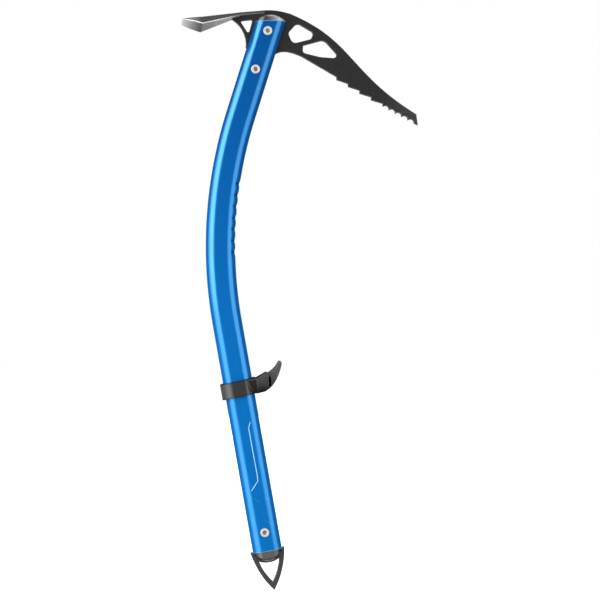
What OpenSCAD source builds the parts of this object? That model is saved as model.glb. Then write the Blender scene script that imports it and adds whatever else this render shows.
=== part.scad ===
// Ice climbing tool: bent tube shaft, plate head with pick and adze, spike and sliding hand rest.
// Millimetres. +X points to the pick, +Z up, and the tool is symmetric about the plane Y = 0.
// The origin lies on the shaft's centre line at the hand grip, where the bend begins.

/* [Shaft] */
// Depth of the tube, front to back
shaft_depth = 25.4; // [23:0.1:30]
// Width of the tube, side to side
shaft_width = 17; // [15:0.1:20]
// Wall of the tube
shaft_wall = 1.8; // [1.5:0.1:2.2]
// Length of the straight part below the grip
lower_len = 200; // [180:1:260]
// Length of the straight part above the bend
upper_len = 85; // [75:1:120]
// Radius of the bend on the centre line
bend_radius = 375; // [320:5:500]
// Angle that the bend turns through
bend_angle = 27.5; // [24:0.5:34]
// Tilt of the lower part from upright
lower_tilt = 10; // [0:0.5:20]
// Slant of the tube's top end from square
top_cut = 17.5; // [10:0.5:20]

/* [Grip notches] */
// Number of notches on the front of the bend
notch_count = 7; // [3:1:9]
// Distance between notches along the front
notch_pitch = 9.8; // [8:0.1:11]
// Depth of a notch
notch_depth = 0.9; // [0.5:0.1:1.1]
// Half the length of a notch along the shaft
notch_half = 2.6; // [1.5:0.1:3.5]
// How far a notch wraps round the front, each way in degrees
notch_wrap = 60; // [45:1:65]
// Angle along the bend where the lowest notch lies
notch_start = 9.2; // [6:0.1:12]

/* [Head plate] */
// Thickness of the head plate
plate_t = 4; // [3:0.1:5]
// Reach of the pick's point from the front of the shaft
pick_reach = 136.2; // [125:0.1:150]
// Drop of the pick's point below the top of the shaft
pick_drop = 45.9; // [42:0.1:55]
// Height of the pick's blunt nose
nose_h = 8.8; // [7:0.1:11]
// How far the nose leans back
nose_lean = 4.1; // [2:0.1:6]
// Height of the crown above the top of the shaft
crown_h = 11.6; // [10.5:0.1:13]
// Depth below the shaft's top where the pick leaves the tube
front_root = 25.5; // [24:0.1:27]
// Depth below the shaft's top where the strut leaves the tube
back_root = 28.5; // [27:0.1:31]
// Radius of the strut under the adze
strut_r = 24.4; // [23.5:0.1:25.5]
// Length of the tang inside the tube
tang_len = 53; // [50:0.5:60]

/* [Pick teeth] */
// Number of coarse teeth
coarse_count = 4; // [2:1:5]
// Distance between coarse teeth
coarse_pitch = 11.3; // [10:0.05:12]
// Depth of a coarse tooth
coarse_depth = 2.5; // [1.5:0.1:3]
// Number of fine scoops behind the point
fine_count = 5; // [2:1:6]
// Distance between fine scoops
fine_pitch = 6.1; // [5:0.1:6.5]
// Depth of a fine scoop
fine_depth = 2.1; // [0.8:0.1:2.3]
// Distance from the point to the first scoop
point_len = 3.5; // [3:0.1:6]

/* [Adze] */
// Width of the blade where its bevel begins
adze_w = 56.4; // [48:0.1:64]
// Width of the cutting edge
adze_edge_w = 36.9; // [30:0.1:46]
// How far the bevel's sides bow outwards
adze_bow = 2.4; // [0:0.1:4]
// Width of the neck where it meets the blade
adze_neck_w = 8; // [6:0.1:14]
// Width of the neck's end on the plate
adze_root_w = 5; // [4.4:0.1:8]
// Thickness of the blade
adze_t = 6; // [4:0.1:7]
// Thickness of the neck
adze_neck_t = 2.6; // [2.4:0.1:3.5]
// Length of the neck along the plate
adze_neck_len = 19.5; // [17:0.1:21]
// Length of the blade between neck and bevel
adze_blade_len = 36; // [30:0.1:42]
// Length of the ground bevel
adze_bevel_len = 16.1; // [14:0.1:21]
// How far the neck's seat lies inside the back of the tube
adze_seat_in = 4.6; // [3.5:0.1:6]
// How far the neck's seat lies below the crown
adze_seat_drop = 4.2; // [3.6:0.1:5]
// Slope of the neck
adze_neck_slope = 23.5; // [22:0.5:25]
// Slope of the blade
adze_blade_slope = 30; // [27:0.5:32]
// Slope of the bevelled end
adze_bevel_slope = 20; // [18:0.5:25]

/* [Inserts] */
// Radius of the head inserts' domed end
head_dome_r = 17; // [15.5:0.5:22]
// Rise of the head inserts above the tube
head_dome_rise = 6.2; // [5:0.1:6.8]
// Radius of the spike inserts' domed end
spike_dome_r = 13; // [12.6:0.1:16]
// Rise of the spike inserts past the tube
spike_dome_rise = 9.4; // [8:0.1:10]
// How far an insert's cap lies inside the tube's outside
cap_in = 0.5; // [0.3:0.1:1]

/* [Rivets] */
// Diameter of a rivet's sleeve
rivet_d = 6.4; // [5:0.1:7]
// Diameter of a rivet's flange
flange_d = 8; // [7.6:0.1:10]
// Thickness of a rivet's flange
flange_t = 1.4; // [1:0.1:2]
// Diameter of a rivet's mandrel
mandrel_d = 3.8; // [3.2:0.1:4.4]
// Depth of the mandrel below the flange's face
mandrel_sink = 0.6; // [0.3:0.1:0.9]
// Length of the tail that is set on the far side
tail_t = 1.8; // [1.2:0.1:2.4]
// Depth of the upper head rivet below the shaft's top
head_rivet_1 = 9.4; // [8.5:0.1:12]
// Depth of the lower head rivet below the shaft's top
head_rivet_2 = 44.1; // [38:0.1:46]
// Height of the spike's rivet above the shaft's bottom
spike_rivet_up = 16.6; // [14:0.1:22]

/* [Spike] */
// Thickness of the spike plate
spike_t = 4; // [3:0.1:5]
// Length of the spike past the tube
spike_len = 34.8; // [33:0.1:42]
// How far the ears stand out past the tube
ear_out = 2.3; // [1.5:0.1:3]
// Rise of the ears beside the tube
ear_rise = 0.8; // [0.5:0.1:2]
// Length of the spike's tang inside the tube
spike_tang = 30; // [28:0.5:40]
// Width of the band round the spike's eye
spike_band = 4.2; // [3.5:0.1:5]
// Radius of the arc that closes the eye under the inserts
web_r = 18.3; // [17:0.1:20]
// Distance of that arc from the tube's end
web_drop = 10.5; // [10.2:0.1:12]

/* [Hand rest] */
// Distance of the rest below the origin, along the shaft
rest_down = 58.2; // [45:0.1:75]
// Height of the collar
collar_h = 13.6; // [12:0.1:16]
// Wall of the collar
collar_wall = 2.5; // [2:0.1:3]
// Slant of the collar's ends from square
collar_tilt = 2.5; // [0:0.5:4]
// Thickness of an ear
rest_ear_t = 2.8; // [2.4:0.1:3.4]
// How far an ear lies inside the collar's side
rest_ear_inset = 0.5; // [0.3:0.1:0.8]
// Reach of the horn from the front of the shaft
horn_reach = 27; // [24:0.5:32]
// Rise of the horn above the middle of the collar
horn_rise = 17.4; // [15:0.1:21]
// Distance of the pin from the front of the shaft
pin_out = 8.3; // [8:0.1:9.5]
// Height of the pin above the middle of the collar
pin_up = 1.2; // [0:0.1:2]
// Diameter of the pin
pin_d = 3; // [2.5:0.1:4]
// Length that closes the pin's hole on the near side
pin_cover = 1; // [0.6:0.1:1.4]
// Thickness of the brake pad
pad_t = 1.9; // [1.5:0.1:2.2]
// Width of the brake pad
pad_w = 8.8; // [7:0.1:10]
// Height of the brake pad
pad_h = 8; // [6:0.1:9]
// Offset of the cam from the pin
cam_offset = 1.2; // [0.8:0.1:1.6]
// Depth of the relief in each ear
relief_depth = 0.7; // [0.4:0.1:1]

/* [Clearances] */
// Gap between the inserts or tangs and the tube
insert_clear = 0.1; // [0.05:0.01:0.2]
// Gap on each side of the plate in its slots
slot_clear = 0.15; // [0.1:0.01:0.3]
// Gap under the plate at the slots' ends
slot_end = 0.4; // [0.3:0.1:0.8]
// Radial gap round a rivet and round its mandrel
rivet_clear = 0.05; // [0.02:0.01:0.1]
// Gap between the collar and the shaft
rest_clear = 0.35; // [0.3:0.01:0.5]
// Gap between the pad and the shaft, and between the cam and the pad
pad_clear = 0.3; // [0.25:0.01:0.4]
// Gap between the lever and each ear
lever_clear = 0.3; // [0.2:0.01:0.5]
// Radial gap between the pin and its holes
pin_clear = 0.05; // [0.02:0.01:0.1]

/* [Hidden] */
$fn = 64;

// Points on a curve, points on a rounded corner, how far a cut runs past a face, and a length past any piece
curve_steps = 18;
corner_steps = 6;
past = 1;
far = 400;

// Half depth of the tube, and the half depth and width of its bore
front = shaft_depth / 2;
bore_half = front - shaft_wall;
bore_w = shaft_width - 2 * shaft_wall;
plug_half = bore_half - insert_clear;
rivet_hole_d = rivet_d + 2 * rivet_clear;

// Colours of the real pieces
blue = "#1f78c8";
black_steel = "#2b2c2e";
bare_steel = "#5c5d5f";
silver = "#c9cccf";
dark_core = "#6b6258";
grey_plastic = "#55575a";
black_plastic = "#2a2a2b";
rubber = "#1a1a1a";

// Points along a quadratic and a cubic curve
function curve2(a, b, c) = [
    for (i = [0 : curve_steps])
        let(t = i / curve_steps)
        (1 - t) * (1 - t) * a + 2 * t * (1 - t) * b + t * t * c
];
function curve3(a, b, c, d) = [
    for (i = [0 : curve_steps])
        let(t = i / curve_steps, u = 1 - t)
        u * u * u * a + 3 * u * u * t * b + 3 * u * t * t * c + t * t * t * d
];
// Points along a circle from one angle to another
function arc(centre, r, from, to) = [
    for (i = [0 : curve_steps])
        let(a = from + (to - from) * i / curve_steps)
        centre + r * [cos(a), sin(a)]
];
// Half width of a plate of some thickness that fits in the round-ended bore
function tang_half(thickness) =
    plug_half - bore_w / 2 + sqrt(pow(bore_w / 2, 2) - pow(thickness / 2, 2));
function unit(v) = v / norm(v);
function heading(a) = [cos(a), sin(a)];
// Points that round the corner b between a and c, with the radius held to what the sides allow
function fillet(a, b, c, r) =
    let(
        u = unit(a - b),
        v = unit(c - b),
        half = acos(u * v) / 2,
        reach = min(r / tan(half), 0.48 * norm(a - b), 0.48 * norm(c - b)),
        radius = reach * tan(half),
        centre = b + unit(u + v) * radius / sin(half),
        start = b + u * reach - centre,
        sweep = (180 - 2 * half) * sign(u.x * v.y - u.y * v.x) * -1,
        from = atan2(start.y, start.x)
    )
    [for (i = [0 : corner_steps]) centre + radius * heading(from + sweep * i / corner_steps)];
// An outline from corners that are written as [x, z, radius]
function xz(p) = [p.x, p.y];
function rounded(corners) =
    let(n = len(corners))
    [
        for (i = [0 : n - 1])
            each fillet(
                xz(corners[(i + n - 1) % n]), xz(corners[i]), xz(corners[(i + 1) % n]), corners[i].z
            )
    ];
function reversed(list) = [for (i = [len(list) - 1 : -1 : 0]) list[i]];

// Frames of the lower tube, the bend at an angle, the tube's top, its bottom and the rest
module lower_frame() {
    rotate([0, -lower_tilt, 0]) children();
}
module bend_frame(angle) {
    lower_frame()
        translate([bend_radius, 0, 0])
            rotate([0, angle, 0])
                translate([-bend_radius, 0, 0])
                    children();
}
module head_frame() {
    bend_frame(bend_angle) translate([0, 0, upper_len]) children();
}
module spike_frame() {
    lower_frame() translate([0, 0, -lower_len]) rotate([0, 180, 0]) children();
}
module rest_frame() {
    lower_frame() translate([0, 0, -rest_down]) children();
}
// A flat plate in the tool's plane from an outline in X and Z
module plate(outline, thickness) {
    rotate([90, 0, 0]) linear_extrude(thickness, center = true) polygon(outline);
}
// A round bar or hole across the tool at a point in X and Z
module across(x, z, d, length) {
    translate([x, 0, z]) rotate([90, 0, 0]) cylinder(d = d, h = length, center = true);
}
// Everything above the slanted plane at a tube's end
module above_cut(slant) {
    rotate([0, -slant, 0]) translate([-far / 2, -far / 2, 0]) cube(far);
}
// A flat-sided oval: two half rounds joined by straight sides
module oval(depth, width) {
    square([depth - width, width], center = true);
    for (side = [-1, 1]) translate([side * (depth - width) / 2, 0]) circle(d = width);
}
module tube_section(inset) {
    difference() {
        oval(shaft_depth - 2 * inset, shaft_width - 2 * inset);
        oval(2 * (bore_half + inset), bore_w + 2 * inset);
    }
}

// Shaft: lap of its upper part into the bend, and the step that this leaves
seam_lap = 1;
seam_step = 0.05;
upper_extra = front * tan(top_cut) + past;
slot_w = plate_t + 2 * slot_clear;
notch_step = notch_pitch / (bend_radius - front) * 180 / PI;
round_r = shaft_width / 2;
round_x = front - round_r;
// Circle that a notch's floor follows: it leaves the round front at notch_wrap each way
notch_shift = (2 * round_r * notch_depth - pow(notch_depth, 2))
    / (2 * (round_r - notch_depth - round_r * cos(notch_wrap)));
notch_floor_r = round_r - notch_depth + notch_shift;
notch_rim_r = notch_floor_r + notch_depth * 1.15;

module notch() {
    translate([round_x - notch_shift, 0, 0])
        difference() {
            translate([0, -shaft_width, -notch_half]) cube([shaft_depth, 2 * shaft_width, 2 * notch_half]);
            cylinder(r1 = notch_floor_r, r2 = notch_rim_r, h = notch_half);
            mirror([0, 0, 1]) cylinder(r1 = notch_floor_r, r2 = notch_rim_r, h = notch_half);
        }
}
module slot(side, depth) {
    translate([side > 0 ? 0 : -far, -slot_w / 2, -depth - slot_end]) cube([far, slot_w, far]);
}
// The upper part's wall is a hair thinner, and its end lies inside the bend's wall
module shaft_tube() {
    lower_frame() translate([0, 0, -lower_len]) linear_extrude(lower_len) tube_section(0);
    lower_frame()
        translate([bend_radius, 0, 0])
            rotate([-90, 0, 0])
                rotate([0, 0, 180])
                    rotate_extrude(angle = bend_angle, $fn = 256)
                        translate([bend_radius, 0])
                            tube_section(0);
    bend_frame(bend_angle)
        translate([0, 0, -seam_lap])
            linear_extrude(seam_lap + upper_len + upper_extra)
                tube_section(seam_step);
}
module shaft() {
    color(blue)
        difference() {
            shaft_tube();
            head_frame() above_cut(top_cut);
            head_frame() slot(1, front_root);
            head_frame() slot(-1, back_root);
            head_frame() across(0, -head_rivet_1, rivet_hole_d, far);
            head_frame() across(0, -head_rivet_2, rivet_hole_d, far);
            spike_frame() across(0, -spike_rivet_up, rivet_hole_d, far);
            for (i = [0 : notch_count - 1]) bend_frame(notch_start + i * notch_step) notch();
        }
}

// Adze: its side profile and its plan, in the head's frame
adze_root = [adze_seat_in - front, crown_h - adze_seat_drop];
adze_top_1 = adze_root - adze_neck_len * heading(adze_neck_slope);
adze_top_2 = adze_top_1 - adze_blade_len * heading(adze_blade_slope);
adze_tip = adze_top_2 - adze_bevel_len * heading(adze_bevel_slope);
adze_edge_t = 0.4;
adze_low_0 = adze_root - adze_neck_t * heading(adze_neck_slope + 90);
adze_low_1 = adze_top_1 - adze_neck_t * heading((adze_neck_slope + adze_blade_slope) / 2 + 90);
adze_low_2 = adze_top_2 - adze_t * heading((adze_blade_slope + adze_bevel_slope) / 2 + 90);
adze_tip_low = adze_tip - adze_edge_t * heading(adze_bevel_slope + 90);

module adze() {
    side = [adze_root, adze_top_1, adze_top_2, adze_tip, adze_tip_low, adze_low_2, adze_low_1, adze_low_0];
    shoulder = [adze_low_2.x, adze_w / 2];
    corner = [adze_tip.x, adze_edge_w / 2];
    half_plan = concat(
        [[adze_low_0.x, adze_root_w / 2], [adze_top_1.x, adze_neck_w / 2]],
        curve2(shoulder, (shoulder + corner) / 2 + [0, 2 * adze_bow], corner),
        [[adze_tip.x - past, adze_edge_w / 2]]
    );
    plan = concat(half_plan, [for (p = reversed(half_plan)) [p.x, -p.y]]);
    color(bare_steel)
        head_frame()
            intersection() {
                plate(side, 2 * adze_w);
                translate([0, 0, -far / 2]) linear_extrude(far) polygon(plan);
            }
}

// Head plate: outline in the head's frame, clockwise from the adze's seat
pick_point = [front + pick_reach, -pick_drop];
pick_nose = pick_point + [-nose_lean, nose_h];
crown = [front + 2, crown_h];
crown_corner = [adze_root.x + (crown.y - adze_root.y) / tan(adze_neck_slope), crown.y];
// Handles of the curve over the pick
crown_pull = [58.7, -4.8];
nose_pull = [-66.6, 16];
// The tooth tips lie on a shallow curve, at a distance s behind the point
function tooth_tip(s) = pick_point + [-s, 0.159 * s + 0.00048 * s * s];
fine_from = point_len + fine_pitch;
last_fine = point_len + fine_count * fine_pitch;
riser = [-0.35 * coarse_depth, coarse_depth];
arch_end = [front + 22.6, 4.9 - front_root];
strut_centre = [-front - strut_r - 0.3, -back_root - 4.2];
arm_end = 78;
head_tang = tang_half(plate_t);
scoop_land = 0.4;
scoop_r = (pow(fine_pitch - scoop_land, 2) / 4 + pow(fine_depth, 2)) / (2 * fine_depth);
arm_share = 0.26;
arm_seat = adze_low_1 + arm_share * (adze_low_2 - adze_low_1);

function head_outline() = concat(
    [arm_seat, adze_low_1, adze_low_0],
    curve2(adze_root, crown_corner, crown),
    curve3(crown, crown + crown_pull, pick_nose + nose_pull, pick_nose),
    [pick_point],
    [for (i = [0 : fine_count - 1]) tooth_tip(fine_from + i * fine_pitch)],
    [tooth_tip(last_fine) + riser],
    [
        for (i = [1 : coarse_count])
            let(tip = tooth_tip(last_fine + i * coarse_pitch))
            each [tip, tip + riser]
    ],
    reversed(curve3(
        [front, -front_root],
        [front + 4.4, 5.2 - front_root],
        [front + 11.9, 6.2 - front_root],
        arch_end
    )),
    [
        [head_tang, -front_root],
        [head_tang, -tang_len],
        [-head_tang, -tang_len],
        [-head_tang, -back_root],
        [-front, -back_root]
    ],
    arc(strut_centre, strut_r, asin((-back_root - strut_centre.y) / strut_r), arm_end)
);
function rear_window() = rounded([
    [front + 9.6, 5.6, 3.9],
    [front + 25.8, 2.2, 2.9],
    [front + 25.2, -3.6, 2.5],
    [front + 11.3, -12.3, 4.2],
    [front + 4.9, -4.8, 3.5]
]);
function front_window() = rounded([
    [front + 20.6, -11, 0.6],
    [front + 36.1, -1, 5.8],
    [front + 54.5, -11.6, 2.5],
    [front + 37.5, -15.9, 24],
    [front + 21.8, -17, 2.9]
]);
function strut_window() = rounded([
    [-front - 12.1, -7.9, 1.1],
    [-front - 2.3, -3.5, 1.1],
    [-front - 2, -14.2, 0.9],
    [-front - 3.2, -15.2, 1]
]);

module fine_scoops() {
    for (i = [0 : fine_count - 1]) {
        a = tooth_tip(point_len + i * fine_pitch);
        b = tooth_tip(point_len + (i + 1) * fine_pitch);
        down = [a.y - b.y, b.x - a.x] / norm(b - a);
        centre = (a + b) / 2 + (scoop_r - fine_depth) * down;
        across(centre.x, centre.y, 2 * scoop_r, far);
    }
}
module head_plate() {
    cut = plate_t + 2 * past;
    color(black_steel)
        head_frame()
            difference() {
                plate(head_outline(), plate_t);
                plate(rear_window(), cut);
                plate(front_window(), cut);
                plate(strut_window(), cut);
                fine_scoops();
                across(0, -head_rivet_1, rivet_hole_d, cut);
                across(0, -head_rivet_2, rivet_hole_d, cut);
            }
}

// Inserts: half plugs beside a tang, each with a domed cap on the tube's end
// How far a plug runs into its cap
cap_lap = 0.6;

module half_oval(side, thickness, depth, width) {
    difference() {
        oval(depth, width);
        translate([-far / 2, side > 0 ? thickness / 2 - far : -thickness / 2]) square(far);
    }
}
module end_insert(side, thickness, length, dome_r, dome_rise, slant) {
    difference() {
        translate([0, 0, -length])
            linear_extrude(length + front)
                half_oval(side, thickness, 2 * plug_half, bore_w - 2 * insert_clear);
        translate([0, 0, cap_lap]) above_cut(slant);
    }
    intersection() {
        translate([0, 0, -dome_r])
            linear_extrude(3 * dome_r)
                half_oval(side, thickness, shaft_depth - 2 * cap_in, shaft_width - 2 * cap_in);
        rotate([0, -slant, 0]) translate([0, 0, dome_rise - dome_r]) sphere(dome_r);
        translate([0, 0, insert_clear]) above_cut(slant);
    }
}
module head_insert(side) {
    color(grey_plastic)
        head_frame()
            difference() {
                end_insert(side, plate_t, tang_len, head_dome_r, head_dome_rise, top_cut);
                across(0, -head_rivet_1, rivet_hole_d, far);
                across(0, -head_rivet_2, rivet_hole_d, far);
            }
}
module spike_insert(side) {
    color(grey_plastic)
        spike_frame()
            difference() {
                end_insert(side, spike_t, spike_tang, spike_dome_r, spike_dome_rise, 0);
                across(0, -spike_rivet_up, rivet_hole_d, far);
            }
}
module head_insert_near() { head_insert(-1); }
module head_insert_far() { head_insert(1); }
module spike_insert_near() { spike_insert(-1); }
module spike_insert_far() { spike_insert(1); }

// Rivets: a flanged sleeve set from the near side, and the mandrel left in it
side_y = shaft_width / 2;
mandrel_hole_r = mandrel_d / 2 + rivet_clear;
flange_edge = 0.5;

module turned_across(profile) {
    rotate([-90, 0, 0]) rotate_extrude() polygon(profile);
}
module rivet() {
    color(silver)
        turned_across([
            [mandrel_hole_r, -side_y - flange_t],
            [flange_d / 2 - flange_edge, -side_y - flange_t],
            [flange_d / 2, -side_y - flange_t + flange_edge],
            [flange_d / 2, -side_y],
            [rivet_d / 2, -side_y],
            [rivet_d / 2, side_y],
            [flange_d / 2, side_y],
            [flange_d / 2, side_y + tail_t - 2 * flange_edge],
            [flange_d / 2 - 2 * flange_edge, side_y + tail_t],
            [mandrel_hole_r, side_y + tail_t]
        ]);
}
module mandrel() {
    color(dark_core)
        turned_across([
            [0, -side_y - flange_t + mandrel_sink],
            [mandrel_d / 2, -side_y - flange_t + mandrel_sink],
            [mandrel_d / 2, side_y + tail_t],
            [mandrel_d / 2 - flange_edge, side_y + tail_t + flange_edge],
            [0, side_y + tail_t + flange_edge]
        ]);
}
module head_rivet_upper() { head_frame() translate([0, 0, -head_rivet_1]) rivet(); }
module head_rivet_lower() { head_frame() translate([0, 0, -head_rivet_2]) rivet(); }
module head_mandrel_upper() { head_frame() translate([0, 0, -head_rivet_1]) mandrel(); }
module head_mandrel_lower() { head_frame() translate([0, 0, -head_rivet_2]) mandrel(); }
module spike_rivet() { lower_frame() translate([0, 0, spike_rivet_up - lower_len]) rivet(); }
module spike_mandrel() { lower_frame() translate([0, 0, spike_rivet_up - lower_len]) mandrel(); }

// Spike: outline with the tube's end at Z = 0 and the point downwards
shoulder_gap = 0.2;
spike_tang_half = tang_half(spike_t);
spike_half = front + ear_out;
spike_belly = [spike_half - 3.1, 0.564 * spike_len];
web_centre = [0, web_drop - web_r];
eye_half = spike_half - 6.4;
eye_corner = [eye_half, web_centre.y + sqrt(pow(web_r, 2) - pow(eye_half, 2))];
eye_apex = [0, spike_len - 1.86 * spike_band];

function mirrored(points) = [for (p = reversed(points)) [-p.x, p.y]];
function spike_side() = concat(
    [
        [spike_tang_half, -spike_tang],
        [spike_tang_half, shoulder_gap],
        [front + shoulder_gap, shoulder_gap],
        [front + shoulder_gap, -ear_rise]
    ],
    curve2([spike_half, -ear_rise], spike_belly, [0, spike_len])
);
function eye_side() = curve2(eye_corner, eye_corner + [-1.7, 8.9], eye_apex);
function eye_outline() = concat(
    arc(web_centre, web_r, 180 - acos(eye_corner.x / web_r), acos(eye_corner.x / web_r)),
    eye_side(),
    mirrored(eye_side())
);
module spike_plate() {
    color(bare_steel)
        spike_frame()
            difference() {
                plate(concat(spike_side(), mirrored(spike_side())), spike_t);
                plate(eye_outline(), spike_t + 2 * past);
                across(0, -spike_rivet_up, rivet_hole_d, far);
            }
}

// Hand rest: a collar on the lower tube, and a lever whose cam presses a pad on the tube's front
collar_grow = 2 * (rest_clear + collar_wall);
collar_half_w = shaft_width / 2 + rest_clear + collar_wall;
ear_outer = collar_half_w - rest_ear_inset;
ear_inner = ear_outer - rest_ear_t;
lever_w = 2 * (ear_inner - lever_clear);
pin_x = front + pin_out;
cam_reach = pin_out - 2 * pad_clear - pad_t;
cam_r = cam_reach - cam_offset;
hub_r = cam_reach - 0.6;
ear_left = front - 7;
horn_tip = [front + horn_reach, horn_rise];
pin_far = ear_outer;
pin_near = pin_cover - ear_outer;

// Side view of an ear, and of the V-shaped relief in it
function ear_outline() = rounded([
    [ear_left, collar_h / 2 - 1, 0.5],
    [front + 3.4, collar_h / 2 - 0.4, 4],
    [front + 14, collar_h / 2 + 3.4, 1.2],
    [front + 13.6, -collar_h / 2 + 4.6, 3],
    [front + 9.6, -collar_h / 2 + 0.9, 4],
    [front + 2, -collar_h / 2 + 0.3, 3],
    [ear_left, -collar_h / 2 + 1, 0.5]
]);
function relief_outline() = rounded([
    [front - 4.6, collar_h / 2 - 1.6, 0.5],
    [front + 0.4, -collar_h / 2 + 2, 0.5],
    [front + 2.2, -collar_h / 2 + 2, 0.5],
    [front + 2.9, collar_h / 2 - 1.6, 0.5]
]);
// Side view of the lever: from its hub along the tread to the tip and back under it
function lever_outline() = concat(
    curve2([pin_x + 1, pin_up + 6.9], [front + 19.4, collar_h / 2 + 4.1], horn_tip + [-1.6, 0]),
    curve2(horn_tip + [-1.6, 0], horn_tip + [0.2, 0.2], horn_tip + [0, -2.6]),
    curve3(
        horn_tip + [0, -2.6],
        [front + 23.6, collar_h / 2 - 1],
        [front + 16.6, -collar_h / 2 + 1.6],
        [pin_x - 0.4, pin_up - 7.1]
    )
);
module rest_collar() {
    color(black_plastic)
        rest_frame()
            difference() {
                union() {
                    intersection() {
                        translate([0, 0, -far / 2])
                            linear_extrude(far)
                                oval(shaft_depth + collar_grow, shaft_width + collar_grow);
                        rotate([0, -collar_tilt, 0]) cube([far, far, collar_h], center = true);
                    }
                    for (side = [-1, 1])
                        translate([0, side * (ear_outer - rest_ear_t / 2), 0])
                            plate(ear_outline(), rest_ear_t);
                }
                translate([0, 0, -far / 2])
                    linear_extrude(far)
                        oval(shaft_depth + 2 * rest_clear, shaft_width + 2 * rest_clear);
                translate([0, -pad_w / 2 - insert_clear, -pad_h / 2 - insert_clear])
                    cube([far, pad_w + 2 * insert_clear, pad_h + 2 * insert_clear]);
                for (side = [-1, 1])
                    translate([0, side * ear_outer, 0]) plate(relief_outline(), 2 * relief_depth);
                translate([pin_x, pin_near, pin_up])
                    rotate([-90, 0, 0])
                        cylinder(d = pin_d + 2 * pin_clear, h = far);
            }
}
module rest_lever() {
    color(black_plastic)
        rest_frame()
            difference() {
                union() {
                    plate(lever_outline(), lever_w);
                    across(pin_x, pin_up, 2 * hub_r, lever_w);
                    across(pin_x - cam_offset, pin_up, 2 * cam_r, lever_w);
                }
                across(pin_x, pin_up, pin_d + 2 * pin_clear, far);
            }
}
module rest_pin() {
    color(silver)
        rest_frame()
            translate([pin_x, pin_near, pin_up])
                rotate([-90, 0, 0])
                    cylinder(d = pin_d, h = pin_far - pin_near);
}
module rest_pad() {
    pad_in = 2 * pad_clear;
    pad_out = pad_in + 2 * pad_t;
    color(rubber)
        rest_frame()
            intersection() {
                translate([0, 0, -pad_h / 2])
                    linear_extrude(pad_h)
                        difference() {
                            oval(shaft_depth + pad_out, shaft_width + pad_out);
                            oval(shaft_depth + pad_in, shaft_width + pad_in);
                        }
                translate([0, -pad_w / 2, -pad_h]) cube([far, pad_w, 2 * pad_h]);
            }
}

shaft();
head_plate();
adze();
head_insert_near();
head_insert_far();
head_rivet_upper();
head_mandrel_upper();
head_rivet_lower();
head_mandrel_lower();
spike_plate();
spike_insert_near();
spike_insert_far();
spike_rivet();
spike_mandrel();
rest_collar();
rest_lever();
rest_pin();
rest_pad();
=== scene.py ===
"""Looks of an ice climbing tool: bent tube shaft, plate head with pick and adze, spike and sliding hand rest.

Sizes in the classes are millimetres and meshes are metres. +X points to the pick, +Z up, and the tool
lies in the plane Y = 0, seen from -Y. The origin is on the shaft's centre line, where its bend begins.
"""

import logging
import math
from dataclasses import dataclass
from enum import Enum
from typing import ClassVar, Mapping, Optional, Sequence, Union

import bmesh
import bpy
import numpy as np
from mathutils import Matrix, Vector
from mathutils.geometry import delaunay_2d_cdt


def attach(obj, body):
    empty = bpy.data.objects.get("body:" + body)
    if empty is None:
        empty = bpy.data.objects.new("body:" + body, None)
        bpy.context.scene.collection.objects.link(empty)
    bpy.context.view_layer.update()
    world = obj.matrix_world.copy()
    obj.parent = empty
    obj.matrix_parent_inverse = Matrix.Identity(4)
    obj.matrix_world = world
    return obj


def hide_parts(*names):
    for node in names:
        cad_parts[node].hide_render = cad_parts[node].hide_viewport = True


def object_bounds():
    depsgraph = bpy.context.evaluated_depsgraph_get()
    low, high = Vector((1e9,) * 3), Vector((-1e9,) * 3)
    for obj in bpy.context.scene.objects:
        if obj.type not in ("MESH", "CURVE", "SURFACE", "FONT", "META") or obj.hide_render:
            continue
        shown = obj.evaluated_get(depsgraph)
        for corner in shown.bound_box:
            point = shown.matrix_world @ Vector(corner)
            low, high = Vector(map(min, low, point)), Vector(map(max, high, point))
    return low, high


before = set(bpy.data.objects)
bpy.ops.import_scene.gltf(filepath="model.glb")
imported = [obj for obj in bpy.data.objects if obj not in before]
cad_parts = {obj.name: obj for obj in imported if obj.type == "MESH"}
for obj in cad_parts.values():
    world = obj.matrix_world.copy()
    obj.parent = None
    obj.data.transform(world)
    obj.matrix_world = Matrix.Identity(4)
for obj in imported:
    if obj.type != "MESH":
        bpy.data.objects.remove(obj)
CAD_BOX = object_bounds()

MM = 0.001
WELD = 1e-7
NEARLY = 1e-6
QUARTER = math.pi / 2
INSIDE_WITH_HOLES = 2
MIX_SHARE, MIX_FIRST, MIX_SECOND, MIX_RESULT = 0, 6, 7, 2
PLAIN_DETAIL = 2.0
RICH_DETAIL = 3.0
WALL_WEAR_AND_HIGHLIGHT, EDGE_WEAR_AND_HIGHLIGHT = 0.55, 0.45
BEVEL_STEPS, BEVEL_ANGLE = 3, 40.0
DIGITS = 5
DOWNWARDS = 180.0
log = logging.getLogger("ice_tool")

Pair = tuple[float, float]
Triple = tuple[float, float, float]
Colour = tuple[float, float, float, float]


class Body(Enum):
    """The moving bodies that a piece can ride on."""

    TOOL = "tool"
    REST = "rest"
    LEVER = "lever"


class Slot(Enum):
    """The record's material slots, named in the seats of new pieces."""

    SHAFT = "shaft_blue"
    COATED = "coated_steel"
    BARE = "bare_steel"
    PLUG = "grey_plastic"
    RIVET = "rivet_silver"
    MANDREL = "mandrel_steel"
    REST = "rest_black"


class Side(Enum):
    """The two sides of the tool's plane, as the sign of Y."""

    NEAR = -1
    FAR = 1


# Shader maths


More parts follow.
